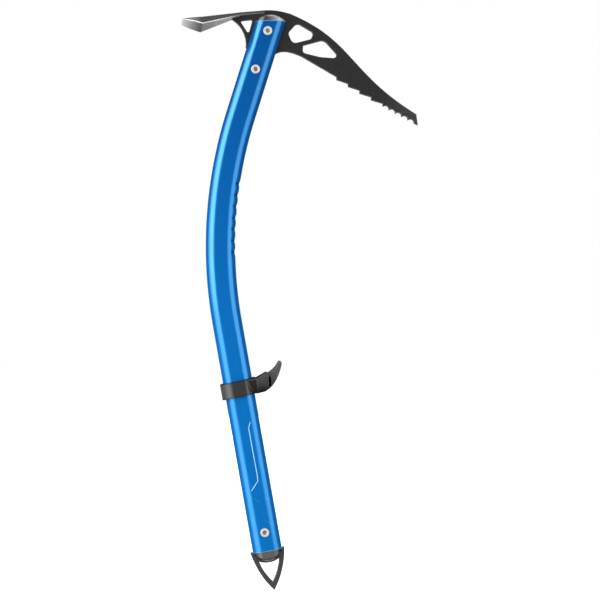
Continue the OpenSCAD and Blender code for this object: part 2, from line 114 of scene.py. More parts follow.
class Wire:
    """An output socket whose arithmetic adds Math nodes."""

    def __init__(self, graph: "Graph", socket: Optional[bpy.types.NodeSocket]) -> None:
        """Keeps the graph and the socket."""
        self.graph = graph
        self.socket = socket

    def maths(self, operation: str, *values: "Value") -> "Wire":
        """Adds one Math node on the values, in order."""
        return self.graph.node("ShaderNodeMath", {"operation": operation}, dict(enumerate(values)))

    def __add__(self, other: "Value") -> "Wire":
        """Sum."""
        return self.maths("ADD", self, other)

    def __mul__(self, other: "Value") -> "Wire":
        """Product."""
        return self.maths("MULTIPLY", self, other)

    def __sub__(self, other: "Value") -> "Wire":
        """Difference."""
        return self.maths("SUBTRACT", self, other)

    def __rsub__(self, other: "Value") -> "Wire":
        """Difference from a number."""
        return self.maths("SUBTRACT", other, self)

    __radd__ = __add__
    __rmul__ = __mul__

    def sine(self) -> "Wire":
        """Sine of an angle in radians."""
        return self.maths("SINE", self)

    def step(self, low: float, high: float) -> "Wire":
        """Smooth step from 0 at one value to 1 at another, which may be the lesser one."""
        limits = {"Value": self, "From Min": min(low, high), "From Max": max(low, high)}
        made = self.graph.node("ShaderNodeMapRange", {"interpolation_type": "SMOOTHSTEP"}, limits)
        return 1.0 - made if low > high else made

    def other(self, output: str) -> "Wire":
        """Another output of the same node."""
        return Wire(self.graph, self.socket.node.outputs[output])


Value = Union[Wire, float, Sequence[float]]
Sockets = Mapping[Union[str, int], Value]


class Graph:
    """A node tree that is filled through one method."""

    def __init__(self, tree: bpy.types.NodeTree) -> None:
        """Empties the tree and keeps it."""
        self.tree = tree
        tree.nodes.clear()

    def node(
        self,
        kind: str,
        settings: Optional[Mapping[str, object]] = None,
        inputs: Optional[Sockets] = None,
        output: Union[str, int] = 0,
    ) -> Wire:
        """Adds a node.

        Args:
            kind: the node's type.
            settings: its properties, set first.
            inputs: values or links for its sockets, by name or number.
            output: the socket that is returned.

        Returns:
            The chosen output, which is empty for a node with no outputs.
        """
        made = self.tree.nodes.new(kind)
        for key, value in (settings or {}).items():
            setattr(made, key, value)
        for key, value in (inputs or {}).items():
            if isinstance(value, Wire):
                self.tree.links.new(value.socket, made.inputs[key])
            else:
                made.inputs[key].default_value = value
        return Wire(self, made.outputs[output] if made.outputs else None)

    def place(self) -> Wire:
        """Object coordinates, in metres."""
        return self.node("ShaderNodeTexCoord", output="Object")

    def trait(self, name: str) -> Wire:
        """A number that the mesh carries at its points."""
        return self.node("ShaderNodeAttribute", {"attribute_name": name}, output="Fac")

    def noise(self, where: Wire, scale: float, detail: float = PLAIN_DETAIL) -> Wire:
        """Soft noise about 0.5 at a scale in waves per unit."""
        return self.node("ShaderNodeTexNoise", inputs={"Vector": where, "Scale": scale, "Detail": detail})

    def lines(
        self, where: Wire, scale: Triple, turn: Triple = (0.0, 0.0, 0.0), detail: float = RICH_DETAIL
    ) -> Wire:
        """Noise drawn out along a direction: coordinates turned by radians, then scaled in waves per unit."""
        turned = self.node("ShaderNodeMapping", inputs={"Vector": where, "Rotation": turn})
        drawn = self.node("ShaderNodeMapping", inputs={"Vector": turned, "Scale": scale})
        return self.noise(drawn, 1.0, detail)

    def mixed(self, first: Value, second: Value, share: Value) -> Wire:
        """Mix of two colours, with the second one's share from 0 to 1."""
        values = {MIX_SHARE: share, MIX_FIRST: first, MIX_SECOND: second}
        return self.node("ShaderNodeMix", {"data_type": "RGBA"}, values, MIX_RESULT)

    def bump(self, height: Wire, distance: float, strength: float) -> Wire:
        """Normal of a surface whose relief is a height from 0 to 1 times a distance in metres."""
        return self.node("ShaderNodeBump", inputs={"Height": height, "Distance": distance, "Strength": strength})

    def seen(self) -> Wire:
        """1 on the way from the camera, a reflection or a clear material, and 0 for plain light."""
        path = self.node("ShaderNodeLightPath", output="Is Camera Ray")
        return (path + path.other("Is Glossy Ray") + path.other("Is Transmission Ray")).step(0.0, 1.0)


@dataclass(frozen=True)
class Fade:
    """A smooth step between two values, up to a greatest share."""

    low: float
    high: float
    share: float = 1.0

    def of(self, wire: Wire) -> Wire:
        """The share at a wire's value."""
        return wire.step(self.low, self.high) * self.share


def rgb(red: float, green: float, blue: float) -> Colour:
    """A linear colour with full alpha."""
    return (red, green, blue, 1.0)


def grey(level: float) -> Colour:
    """A linear grey with full alpha."""
    return rgb(level, level, level)


def new_material(name: str) -> tuple[bpy.types.Material, Graph]:
    """A material and its empty graph."""
    made = bpy.data.materials.new(name)
    made.use_nodes = True
    return made, Graph(made.node_tree)


# Finishes


class Finish:
    """A named principled material, whose sockets each finish works out."""

    name: str

    def sockets(self, graph: Graph) -> Sockets:
        """Values and links of the shader's sockets."""
        raise NotImplementedError

    def material(self) -> bpy.types.Material:
        """The material with this finish's name, made once."""
        found = bpy.data.materials.get(self.name)
        if found:
            return found
        made, graph = new_material(self.name)
        shader = graph.node("ShaderNodeBsdfPrincipled", inputs=self.sockets(graph))
        graph.node("ShaderNodeOutputMaterial", inputs={"Surface": shader})
        return made


@dataclass(frozen=True)
class AnodisedBlue(Finish):
    """Dyed aluminium under a clear sealed skin, drawn along the tube, with faint slanted strokes low down.

    The tube's cut ends carry a painted highlight, and the valleys of its grip carry painted shade.
    """

    name: str = "blue_anodised"
    # The blue is darker towards the top of the tube.
    upper: Colour = rgb(0.0, 0.062, 0.255)
    lower: Colour = rgb(0.0, 0.126, 0.425)
    deep: Colour = rgb(0.0, 0.03, 0.15)
    # cut is the colour of the painted shade in the grip's valleys
    cut: Colour = rgb(0.0, 0.012, 0.05)
    # edge is the colour of a painted highlight on the tube's cut ends
    edge: Colour = rgb(0.25, 0.55, 0.80)
    stroke: Colour = rgb(0.02, 0.30, 0.80)
    gleam: Colour = rgb(0.14, 0.51, 0.86)
    drawn_scale: Triple = (30.0, 2600.0, 1.0)
    cloud_scale: float = 55.0
    patch_scale: float = 120.0
    stroke_gap: float = 0.0075
    stroke_slant: float = 0.8
    upper_fade: Fade = Fade(-0.10, 0.30)
    drawn_fade: Fade = Fade(0.35, 0.75, 0.10)
    cloud_fade: Fade = Fade(0.3, 0.8, 0.05)
    wave_fade: Fade = Fade(0.93, 1.0, 0.55)
    patch_fade: Fade = Fade(0.5, 0.62)
    rise_fade: Fade = Fade(-0.192, -0.182)
    fall_fade: Fade = Fade(-0.146, -0.156)
    rim_highlight_share: float = 0.7
    valley_shade_metallic: float = 0.9
    index: float = 2.3
    roughness: float = 0.19
    drawn_rough: float = 0.08
    relief: float = 0.000004
    strength: float = 0.5

    def sockets(self, graph: Graph) -> Sockets:
        """Drawn lines follow the tube's length, and the strokes are thin bands of along minus part of round."""
        along = graph.trait("along")
        around = graph.trait("round")
        groove = graph.trait("groove")
        sheet = graph.node("ShaderNodeCombineXYZ", inputs={"X": along, "Y": around})
        drawn = graph.lines(sheet, self.drawn_scale)
        cloud = graph.noise(sheet, self.cloud_scale)
        patch = graph.noise(sheet, self.patch_scale, detail=1.0)
        wave = ((along - around * self.stroke_slant) * (math.tau / self.stroke_gap)).sine()
        low = self.rise_fade.of(along) * self.fall_fade.of(along)
        base = graph.mixed(self.lower, self.upper, self.upper_fade.of(along))
        base = graph.mixed(base, self.stroke, self.wave_fade.of(wave) * self.patch_fade.of(patch) * low)
        base = graph.mixed(base, self.deep, self.drawn_fade.of(drawn) + self.cloud_fade.of(cloud))
        # A painted highlight on the tube's cut ends.
        base = graph.mixed(base, self.edge, graph.trait("rim") * self.rim_highlight_share)
        # The grip's valleys get painted shade, dark and nearly metallic.
        return {
            "Base Color": graph.mixed(base, self.cut, groove),
            "Metallic": groove * self.valley_shade_metallic,
            "Roughness": self.roughness + drawn * self.drawn_rough,
            "IOR": self.index,
            "Specular Tint": self.gleam,
            "Normal": graph.bump(drawn, self.relief, self.strength),
        }


@dataclass(frozen=True)
class CoatedSteel(Finish):
    """Black coat on blasted steel, rubbed thin along the edges, which also carry a painted highlight."""

    name: str = "black_coated_steel"
    coat: Colour = grey(0.006)
    pale: Colour = grey(0.014)
    dark: Colour = grey(0.005)
    tip: Colour = grey(0.07)
    worn_and_lit: Colour = grey(0.17)
    grain_scale: float = 2600.0
    patch_scale: float = 160.0
    line_scale: Triple = (160.0, 160.0, 3600.0)
    line_turn: Triple = (0.0, -0.62, 0.0)
    grain_fade: Fade = Fade(0.42, 0.68)
    patch_fade: Fade = Fade(0.4, 0.75, 0.35)
    wear_fade: Fade = Fade(0.25, 1.0)
    tip_fade: Fade = Fade(0.128, 0.164)
    line_fade: Fade = Fade(0.35, 0.7, 0.7)
    rubbed_share: float = 0.75
    wear_least: float = 0.45
    wear_spread: float = 0.9
    worn_metallic: float = 0.4
    roughness: float = 0.52
    grain_rough: float = 0.16
    worn_smooth: float = 0.14
    specular: float = 0.18
    relief: float = 0.00004
    strength: float = 0.6

    def sockets(self, graph: Graph) -> Sockets:
        """The rubbed share is the mesh's own wear and painted highlight, broken up by noise; the pick's end is paler
        with fine lines.
        """
        where = graph.place()
        ahead = graph.node("ShaderNodeSeparateXYZ", inputs={0: where}, output="X")
        grain = graph.noise(where, self.grain_scale)
        patch = graph.noise(where, self.patch_scale, RICH_DETAIL)
        lines = graph.lines(where, self.line_scale, self.line_turn)
        wear = self.wear_fade.of(graph.trait("wear") * (self.wear_least + patch * self.wear_spread))
        base = graph.mixed(self.coat, self.pale, self.grain_fade.of(grain))
        base = graph.mixed(base, self.dark, self.patch_fade.of(patch))
        base = graph.mixed(base, self.tip, self.tip_fade.of(ahead) * self.line_fade.of(lines))
        return {
            "Base Color": graph.mixed(base, self.worn_and_lit, wear * self.rubbed_share),
            "Metallic": wear * self.worn_metallic,
            "Roughness": self.roughness + grain * self.grain_rough - wear * self.worn_smooth,
            "Specular IOR Level": self.specular,
            "Normal": graph.bump(grain, self.relief, self.strength),
        }


@dataclass(frozen=True)
class GroundSteel(Finish):
    """Bare steel with grinding lines, lighter where the mesh marks it as ground to an edge and where the mesh gives it
    a painted highlight, and paler at edges with wear and a painted highlight.
    """

    name: str
    plain: Colour
    ground: Colour
    line_scale: Triple
    line_turn: Triple = (0.0, 0.0, 0.0)
    metallic: float = 0.4
    dirt: Colour = grey(0.03)
    worn_and_lit: Colour = grey(0.55)
    patch_scale: float = 140.0
    line_fade: Fade = Fade(0.42, 0.72, 0.3)
    patch_fade: Fade = Fade(0.4, 0.8, 0.12)
    wear_fade: Fade = Fade(0.3, 1.1, 0.6)
    wear_least: float = 0.4
    roughness: float = 0.4
    line_rough: float = 0.2
    relief: float = 0.00002
    strength: float = 0.6

    def sockets(self, graph: Graph) -> Sockets:
        """Grinding lines are noise drawn out along one direction of the piece."""
        where = graph.place()
        lines = graph.lines(where, self.line_scale, self.line_turn)
        patch = graph.noise(where, self.patch_scale, RICH_DETAIL)
        wear = self.wear_fade.of(graph.trait("wear") * (self.wear_least + patch))
        # Ground bevel, and a painted highlight along the adze's lower corners.
        base = graph.mixed(self.plain, self.ground, graph.trait("ground"))
        base = graph.mixed(base, self.dirt, self.line_fade.of(lines) + self.patch_fade.of(patch))
        return {
            "Base Color": graph.mixed(base, self.worn_and_lit, wear),
            "Metallic": self.metallic,
            "Roughness": self.roughness + lines * self.line_rough,
            "Normal": graph.bump(lines, self.relief, self.strength),
        }


@dataclass(frozen=True)
class Moulded(Finish):
    """Moulded plastic with a fine texture and small scuffs, paler with painted highlights and darker with painted
    shade.
    """

    name: str
    colour: Colour
    scuff_and_highlight: Colour
    roughness: float
    texture_scale: float = 1800.0
    relief: float = 0.00005
    specular: float = 0.5
    shade_black: Colour = grey(0.003)
    patch_scale: float = 90.0
    scuff_scale: Triple = (200.0, 900.0, 3000.0)
    scuff_turn: Triple = (0.0, 0.6, 0.3)
    scuff_fade: Fade = Fade(0.62, 0.74, 0.5)
    patch_fade: Fade = Fade(0.5, 0.7)
    wear_and_highlight_share: float = 0.7
    scuff_share: float = 0.6
    texture_share: float = 0.12
    texture_rough: float = 0.12
    patch_smooth: float = 0.06
    painted_shade_rough: float = 0.2
    strength: float = 0.7

    def sockets(self, graph: Graph) -> Sockets:
        """The texture is one fine noise, the scuffs are long thin noise joined by the mesh's wear and painted
        highlight, and painted shade neither lights nor gleams.
        """
        where = graph.place()
        # The mesh's painted shade.
        recess = graph.trait("recess")
        texture = graph.noise(where, self.texture_scale)
        patch = graph.noise(where, self.patch_scale, RICH_DETAIL)
        lines = graph.lines(where, self.scuff_scale, self.scuff_turn, PLAIN_DETAIL)
        # Scuffs, plus the mesh's wear and painted highlight.
        marks_and_highlight = self.scuff_fade.of(lines) * self.patch_fade.of(patch) + graph.trait("wear") * self.wear_and_highlight_share
        face = graph.mixed(self.colour, self.scuff_and_highlight, marks_and_highlight * self.scuff_share + texture * self.texture_share)
        rough = self.roughness + texture * self.texture_rough - patch * self.patch_smooth
        return {
            "Base Color": graph.mixed(face, self.shade_black, recess),
            "Metallic": recess,
            "Roughness": rough + recess * self.painted_shade_rough,
            "Specular IOR Level": self.specular,
            "Normal": graph.bump(texture, self.relief, self.strength),
        }


@dataclass(frozen=True)
class TurnedMetal(Finish):
    """Small metal hardware, with fine marks, a little tarnish and painted shade at its rim."""

    name: str
    colour: Colour
    tarnish: Colour
    roughness: float
    metallic: float = 1.0
    rim_shade: Colour = rgb(0.02, 0.05, 0.09)
    rim_shade_share: float = 0.85
    mark_scale: float = 1500.0
    patch_scale: float = 420.0
    patch_fade: Fade = Fade(0.45, 0.75, 0.7)
    mark_rough: float = 0.15
    relief: float = 0.00002
    strength: float = 0.5

    def sockets(self, graph: Graph) -> Sockets:
        """Marks and tarnish are two noises, one fine and one coarse."""
        where = graph.place()
        marks = graph.noise(where, self.mark_scale, RICH_DETAIL)
        patch = graph.noise(where, self.patch_scale, RICH_DETAIL)
        face = graph.mixed(self.colour, self.tarnish, self.patch_fade.of(patch))
        # The rim is darkened with painted shade.
        return {
            "Base Color": graph.mixed(face, self.rim_shade, graph.trait("rim") * self.rim_shade_share),
            "Metallic": self.metallic,
            "Roughness": self.roughness + marks * self.mark_rough,
            "Normal": graph.bump(marks, self.relief, self.strength),
        }


@dataclass(frozen=True)
class Print(Finish):
    """Thin screen print, slightly uneven."""

    name: str = "white_print"
    ink: Colour = rgb(0.40, 0.68, 0.88)
    thin: Colour = rgb(0.25, 0.5, 0.72)
    speck_scale: float = 3000.0
    speck_fade: Fade = Fade(0.5, 0.8, 0.5)
    roughness: float = 0.45
    speck_rough: float = 0.1

    def sockets(self, graph: Graph) -> Sockets:
        """The ink thins in fine specks."""
        speck = graph.noise(graph.place(), self.speck_scale)
        return {
            "Base Color": graph.mixed(self.ink, self.thin, self.speck_fade.of(speck)),
            "Roughness": self.roughness + speck * self.speck_rough,
        }


BLUE = AnodisedBlue()
COATED = CoatedSteel()
ADZE_STEEL = GroundSteel(
    "adze_ground_steel",
    plain=grey(0.028), ground=grey(0.85), line_scale=(3800.0, 170.0, 170.0), metallic=0.25,
)
SPIKE_STEEL = GroundSteel(
    "spike_ground_steel",
    plain=grey(0.026), ground=grey(0.10), line_scale=(220.0, 220.0, 3600.0), line_turn=(0.0, 0.5, 0.0),
)
PLUG_GREY = Moulded(
    "plug_grey_gloss", rgb(0.072, 0.069, 0.066), grey(0.32),
    roughness=0.16, texture_scale=900.0, relief=0.00001, specular=0.6,
)
REST_BLACK = Moulded("rest_black_moulded", rgb(0.0115, 0.0108, 0.0102), grey(0.09), roughness=0.33)
PAD_RUBBER = Moulded(
    "pad_rubber_matt", grey(0.012), grey(0.03),
    roughness=0.75, texture_scale=1400.0, relief=0.00008, specular=0.3,
)
RIVET_SILVER = TurnedMetal("rivet_bright", grey(0.60), grey(0.44), roughness=0.26, metallic=0.3)
MANDREL_BROWN = TurnedMetal(
    "mandrel_dull", rgb(0.21, 0.15, 0.10), rgb(0.06, 0.045, 0.035), roughness=0.4, metallic=0.5
)
PIN_STEEL = TurnedMetal("pin_plain_steel", grey(0.55), grey(0.36), roughness=0.3)
PALE_PRINT = Print()


# Outlines in the plane of a plate


def curve(*points: Sequence[float], steps: int = 24) -> np.ndarray:
    """Points of a Bezier curve: control points weighted by binomial numbers times powers of 1-t and t."""
    t = np.linspace(0.0, 1.0, steps + 1)[:, None]
    last = len(points) - 1
    weights = [math.comb(last, i) * (1 - t) ** (last - i) * t**i for i in range(last + 1)]
    return sum(weight * np.array(point) for weight, point in zip(weights, points))


def arc(centre: Sequence[float], radius: float, start: float, end: float, steps: int = 24) -> np.ndarray:
    """Points of a circle from one angle to another, in degrees."""
    turn = np.radians(np.linspace(start, end, steps + 1))
    return np.array(centre) + radius * np.stack([np.cos(turn), np.sin(turn)], axis=-1)


def rounded(corners: Sequence[Triple], steps: int = 6, most: float = 0.48) -> np.ndarray:
    """Closed outline with a round at each corner.

    The round touches both sides at radius / tan(half the corner's angle) from it, held to a share of a side,
    and its points turn about a centre on the corner's bisector.

    Args:
        corners: rows of x, z and radius.
        steps: faces on each round.
        most: greatest share of a side.

    Returns:
        The outline's points, in the corners' order.
    """
    table = np.array(corners, dtype=float)
    here = table[:, :2]
    back = np.roll(here, 1, axis=0) - here
    ahead = np.roll(here, -1, axis=0) - here
    back_len = np.linalg.norm(back, axis=1)
    ahead_len = np.linalg.norm(ahead, axis=1)
    u = back / back_len[:, None]
    v = ahead / ahead_len[:, None]
    half = np.arccos(np.clip((u * v).sum(axis=1), -1, 1)) / 2
    reach = np.minimum(table[:, 2] / np.tan(half), most * np.minimum(back_len, ahead_len))
    radius = reach * np.tan(half)
    bisector = (u + v) / np.linalg.norm(u + v, axis=1)[:, None]
    centre = here + bisector * (radius / np.sin(half))[:, None]
    start = here + u * reach[:, None] - centre
    sweep = -(math.pi - 2 * half) * np.sign(u[:, 0] * v[:, 1] - u[:, 1] * v[:, 0])
    turn = np.arctan2(start[:, 1], start[:, 0])[:, None] + sweep[:, None] * np.linspace(0, 1, steps + 1)
    points = centre[:, None] + radius[:, None, None] * np.stack([np.cos(turn), np.sin(turn)], axis=-1)
    return points.reshape(-1, 2)


def wound(loop: np.ndarray, outer: bool, least: float = 0.02) -> np.ndarray:
    """A loop without repeated points, anticlockwise if it is an outer one and clockwise if it is a hole."""
    loop = loop[np.linalg.norm(loop - np.roll(loop, 1, axis=0), axis=1) > least]
    x, z = loop.T
    area = (x * np.roll(z, -1) - np.roll(x, -1) * z).sum()
    return loop if (area > 0) == outer else loop[::-1]


def normals(sides: np.ndarray) -> np.ndarray:
    """Unit vectors to the left of sides."""
    return np.stack([-sides[:, 1], sides[:, 0]], axis=-1) / np.linalg.norm(sides, axis=1)[:, None]


def inward(loop: np.ndarray, most: float = 2.0, least: float = 0.05) -> np.ndarray:
    """Step at each point of a loop that moves both of its sides into the material by one.

    It is the sum of the two sides' normals over one plus their product, which is held to a least value, and the
    step is held to a greatest length.

    Args:
        loop: the loop's points.
        most: the step's greatest length.
        least: the divisor's least value.

    Returns:
        The steps.
    """
    normal = normals(np.roll(loop, -1, axis=0) - loop)
    before = np.roll(normal, 1, axis=0)
    step = (normal + before) / np.maximum(1 + (normal * before).sum(axis=1), least)[:, None]
    return step * np.minimum(1.0, most / np.maximum(np.linalg.norm(step, axis=1)[:, None], NEARLY))


def ribbon(path: np.ndarray, width: float) -> np.ndarray:
    """Closed outline of a band along an open path: the path moved by half the width to each side."""
    offset = normals(np.gradient(path, axis=0)) * width / 2
    return np.concatenate([path + offset, (path - offset)[::-1]])


# Surfaces


@dataclass
class Surface:
    """Points in metres and faces of a shape, with numbers at the points for its finish."""

    points: np.ndarray
    faces: list[list[int]]
    traits: dict[str, np.ndarray]

    @classmethod
    def grid(cls, points: np.ndarray, **traits: np.ndarray) -> "Surface":
        """Squares between neighbours on a grid of points, rows by columns by three, whose columns wrap round."""
        shape = points.shape[:2]
        spread = {name: np.broadcast_to(value, shape).ravel() for name, value in traits.items()}
        return cls(points.reshape(-1, 3), squares(*shape).tolist(), spread)

    @classmethod
    def joined(cls, parts: Sequence["Surface"]) -> "Surface":
        """Several surfaces as one, whose missing traits are 0."""
        starts = np.cumsum([0] + [len(part.points) for part in parts])
        faces = [
            [corner + int(start) for corner in face] for part, start in zip(parts, starts) for face in part.faces
        ]
        traits = {
            name: np.concatenate([part.traits.get(name, np.zeros(len(part.points))) for part in parts])
            for name in sorted({name for part in parts for name in part.traits})
        }
        return cls(np.concatenate([part.points for part in parts]), faces, traits)


def squares(rows: int, columns: int, wrap: bool = True) -> np.ndarray:
    """Corner numbers of the squares on a grid of points, as rows of four; wrap joins the last column to the first."""
    index = np.arange(rows * columns).reshape(rows, columns)
    right = np.roll(index, -1, axis=1)
    corners = np.stack([index[:-1], right[:-1], right[1:], index[1:]], axis=-1)
    return (corners if wrap else corners[:, :-1]).reshape(-1, 4)


@dataclass(frozen=True)
class Place:
    """A local frame in the tool's plane, whose up axis leans towards +X by a tilt in degrees."""

    x: float
    z: float
    tilt: float

    def put(self, x: np.ndarray, y: np.ndarray, z: np.ndarray) -> np.ndarray:
        """Local millimetres turned by the tilt, moved to the frame's origin and given in metres."""
        lean = math.radians(self.tilt)
        x, y, z = np.broadcast_arrays(x, y, z)
        across = self.x + x * math.cos(lean) + z * math.sin(lean)
        up = self.z - x * math.sin(lean) + z * math.cos(lean)
        return np.stack([across, y, up], axis=-1) * MM

    def height(self, points: np.ndarray) -> np.ndarray:
        """Millimetres along the frame's up axis of points in metres."""
        lean = math.radians(self.tilt)
        return (points / MM - (self.x, 0.0, self.z)) @ np.array([math.sin(lean), 0.0, math.cos(lean)])


def plate(
    place: Place,
    outline: np.ndarray,
    holes: Sequence[np.ndarray],
    thickness: float,
    edge: float,
    middle: float = 0.0,
    rows: int = 3,
) -> Surface:
    """Flat plate with rounded edges.

    Each loop is carried along a quarter round from one flat to the wall and on to the other flat: it moves into
    the material by edge (1 - cos a) and stands at half the thickness less edge (1 - sin a). The flats are
    Delaunay triangles between the innermost loops.

    Args:
        place: the plate's frame.
        outline: its outer loop, x and z.
        holes: loops of its holes.
        thickness: its thickness along Y.
        edge: radius of its edges.
        middle: Y of its middle.
        rows: faces on a quarter round.

    Returns:
        The surface, with wear and a painted highlight on its edges.
    """
    turn = np.linspace(QUARTER, 0, rows + 1)
    inset = edge * (1 - np.cos(turn))
    height = thickness / 2 - edge * (1 - np.sin(turn))
    # Edges carry wear and a painted highlight.
    edge_wear_and_highlight = WALL_WEAR_AND_HIGHLIGHT + EDGE_WEAR_AND_HIGHLIGHT * np.sin(2 * turn)
    edge_wear_and_highlight[0] = 0.0
    inset = np.concatenate([inset, inset[::-1]])[:, None, None]
    height = np.concatenate([height, -height[::-1]])[:, None] + middle
    edge_wear_and_highlight = np.concatenate([edge_wear_and_highlight, edge_wear_and_highlight[::-1]])[:, None]
    loops = [wound(outline, True)] + [wound(hole, False) for hole in holes]
    walls = []
    for loop in loops:
        moved = loop[None] + inset * inward(loop)[None]
        walls.append(Surface.grid(place.put(moved[..., 0], height, moved[..., 1]), wear=edge_wear_and_highlight))
    inner = [loop + edge * inward(loop) for loop in loops]
    starts = np.cumsum([0] + [len(loop) for loop in inner]).tolist()
    rings = [list(range(start, end)) for start, end in zip(starts, starts[1:])]
    corners = [Vector(point) for point in np.concatenate(inner).tolist()]
    flat_points, _, flat_faces, *_ = delaunay_2d_cdt(corners, [], rings, INSIDE_WITH_HOLES, NEARLY)
    x, z = np.array([tuple(point) for point in flat_points]).T
    faces = [list(face) for face in flat_faces]
    return Surface.joined(walls + [Surface(place.put(x, y, z), faces, {}) for y in height[[0, -1], 0]])


def shell(outer: np.ndarray, inner: np.ndarray, keep: np.ndarray, **traits: np.ndarray) -> Surface:
    """Wall between two grids that wrap round, with squares left out.

    Kept squares of both grids are joined by a wall along every side where a neighbour is left out or missing.

    Args:
        outer: rows by columns by three points of the outer face.
        inner: the same of the inner face.
        keep: which squares are kept, rows - 1 by columns.
        traits: numbers at the outer grid's points, used for both.

    Returns:
        The closed surface.
    """
    rows, columns = outer.shape[:2]
    count = rows * columns
    corners = squares(rows, columns).reshape(rows - 1, columns, 4)
    nothing = np.zeros((1, columns), bool)
    below = keep & ~np.vstack([nothing, keep[:-1]])
    above = keep & ~np.vstack([keep[1:], nothing])
    left = keep & ~np.roll(keep, 1, axis=1)
    right = keep & ~np.roll(keep, -1, axis=1)
    faces = [corners[keep], corners[keep][:, ::-1] + count]
    for mask, a, b in ((below, 0, 1), (right, 1, 2), (above, 2, 3), (left, 3, 0)):
        start, end = corners[mask][:, a], corners[mask][:, b]
        faces.append(np.stack([end, start, start + count, end + count], axis=-1))
    both = {name: np.tile(np.broadcast_to(value, (rows, columns)).ravel(), 2) for name, value in traits.items()}
    return Surface(np.concatenate([outer.reshape(-1, 3), inner.reshape(-1, 3)]), np.concatenate(faces).tolist(), both)


def lathe(place: Place, x: float, z: float, profile: Sequence[Pair], steps: int = 48, **traits: np.ndarray) -> Surface:
    """A profile of radius and Y turned about an axis along Y through a local point, with traits along it."""
    radius, y = np.array(profile, dtype=float).T[:, :, None]
    turn = np.linspace(0, math.tau, steps, endpoint=False)[None]
    points = place.put(x + radius * np.cos(turn), y, z + radius * np.sin(turn))
    return Surface.grid(points, **{name: value[:, None] for name, value in traits.items()})


def oval(
    radius: float, shift: float, split: float, steps: int = 11, inside: int = 7
) -> tuple[np.ndarray, np.ndarray, np.ndarray]:
    """Two half rounds joined by straight sides, with points where each round passes Y = split and -split.

    A point lies at a turn about the centre of its round: x = ±shift + radius cos, y = radius sin.

    Args:
        radius: radius of the rounds.
        shift: distance of their centres from the middle.
        split: Y of the extra points.
        steps: points from a split to the straight side.
        inside: points from one split to the other.

    Returns:
        The turns, x and y, beginning at the near side of the front.
    """
    at = math.asin(split / radius)
    front = np.concatenate([
        np.linspace(-QUARTER, -at, steps), np.linspace(-at, at, inside)[1:-1], np.linspace(at, QUARTER, steps),
    ])
    turn = np.concatenate([front, front + math.pi])
    shifts = np.repeat([shift, -shift], len(front))
    return turn, shifts + radius * np.cos(turn), radius * np.sin(turn)


# Pieces


@dataclass(frozen=True)
class Seat:
    """What a piece stands for: its slot, its node if it replaces one, and its body."""

    slot: Slot
    node: Optional[str] = None
    body: Body = Body.TOOL


def new_mesh(name: str, points: np.ndarray, faces: Sequence[Sequence[int]]) -> bpy.types.Mesh:
    """A mesh of points in metres and faces."""
    mesh = bpy.data.meshes.new(name)
    mesh.from_pydata(points.reshape(-1, 3).tolist(), [], faces)
    return mesh


def new_object(name: str, data: bpy.types.ID) -> bpy.types.Object:
    """An object in the scene."""
    made = bpy.data.objects.new(name, data)
    bpy.context.scene.collection.objects.link(made)
    return made


def make_piece(
    name: str, surface: Surface, finish: Finish, seat: Seat, bevel: float = 0.0, sharp: float = 34.0
) -> None:
    """Makes a closed mesh object from a surface and sets it in the frame.

    Args:
        name: the piece's name.
        surface: its shape.
        finish: its finish.
        seat: what it stands for.
        bevel: width of a bevel on its sharp edges, in millimetres.
        sharp: angle above which an edge stays sharp, in degrees.
    """
    mesh = new_mesh(name, surface.points, surface.faces)
    for key, values in surface.traits.items():
        trait = mesh.attributes.new(key, "FLOAT", "POINT")
        trait.data.foreach_set("value", values.astype(np.float32))
    solid = bmesh.new()
    solid.from_mesh(mesh)
    bmesh.ops.remove_doubles(solid, verts=solid.verts, dist=WELD)
    bmesh.ops.recalc_face_normals(solid, faces=solid.faces)
    solid.to_mesh(mesh)
    solid.free()
    mesh.shade_smooth()
    mesh.set_sharp_from_angle(angle=math.radians(sharp))
    mesh.materials.append(finish.material())
    piece = new_object(name, mesh)
    if bevel:
        rounder = piece.modifiers.new("edges", "BEVEL")
        rounder.width = bevel * MM
        rounder.segments = BEVEL_STEPS
        rounder.limit_method = "ANGLE"
        rounder.angle_limit = math.radians(BEVEL_ANGLE)
    piece.modifiers.new("flats", "WEIGHTED_NORMAL").keep_sharp = True
    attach(piece, seat.body.value)
    if seat.node:
        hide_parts(seat.node)
    log.info("%s: %d points, on %s", name, len(mesh.vertices), seat.body.value)


def dress_node(node: str, finish: Finish) -> None:
    """Gives a CAD node's object a finish in its own material slots."""
    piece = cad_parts[node]
    if not piece.material_slots:
        piece.data.materials.append(None)
    for slot in piece.material_slots:
        slot.material = finish.material()
    log.info("%s: dressed as %s", node, finish.name)


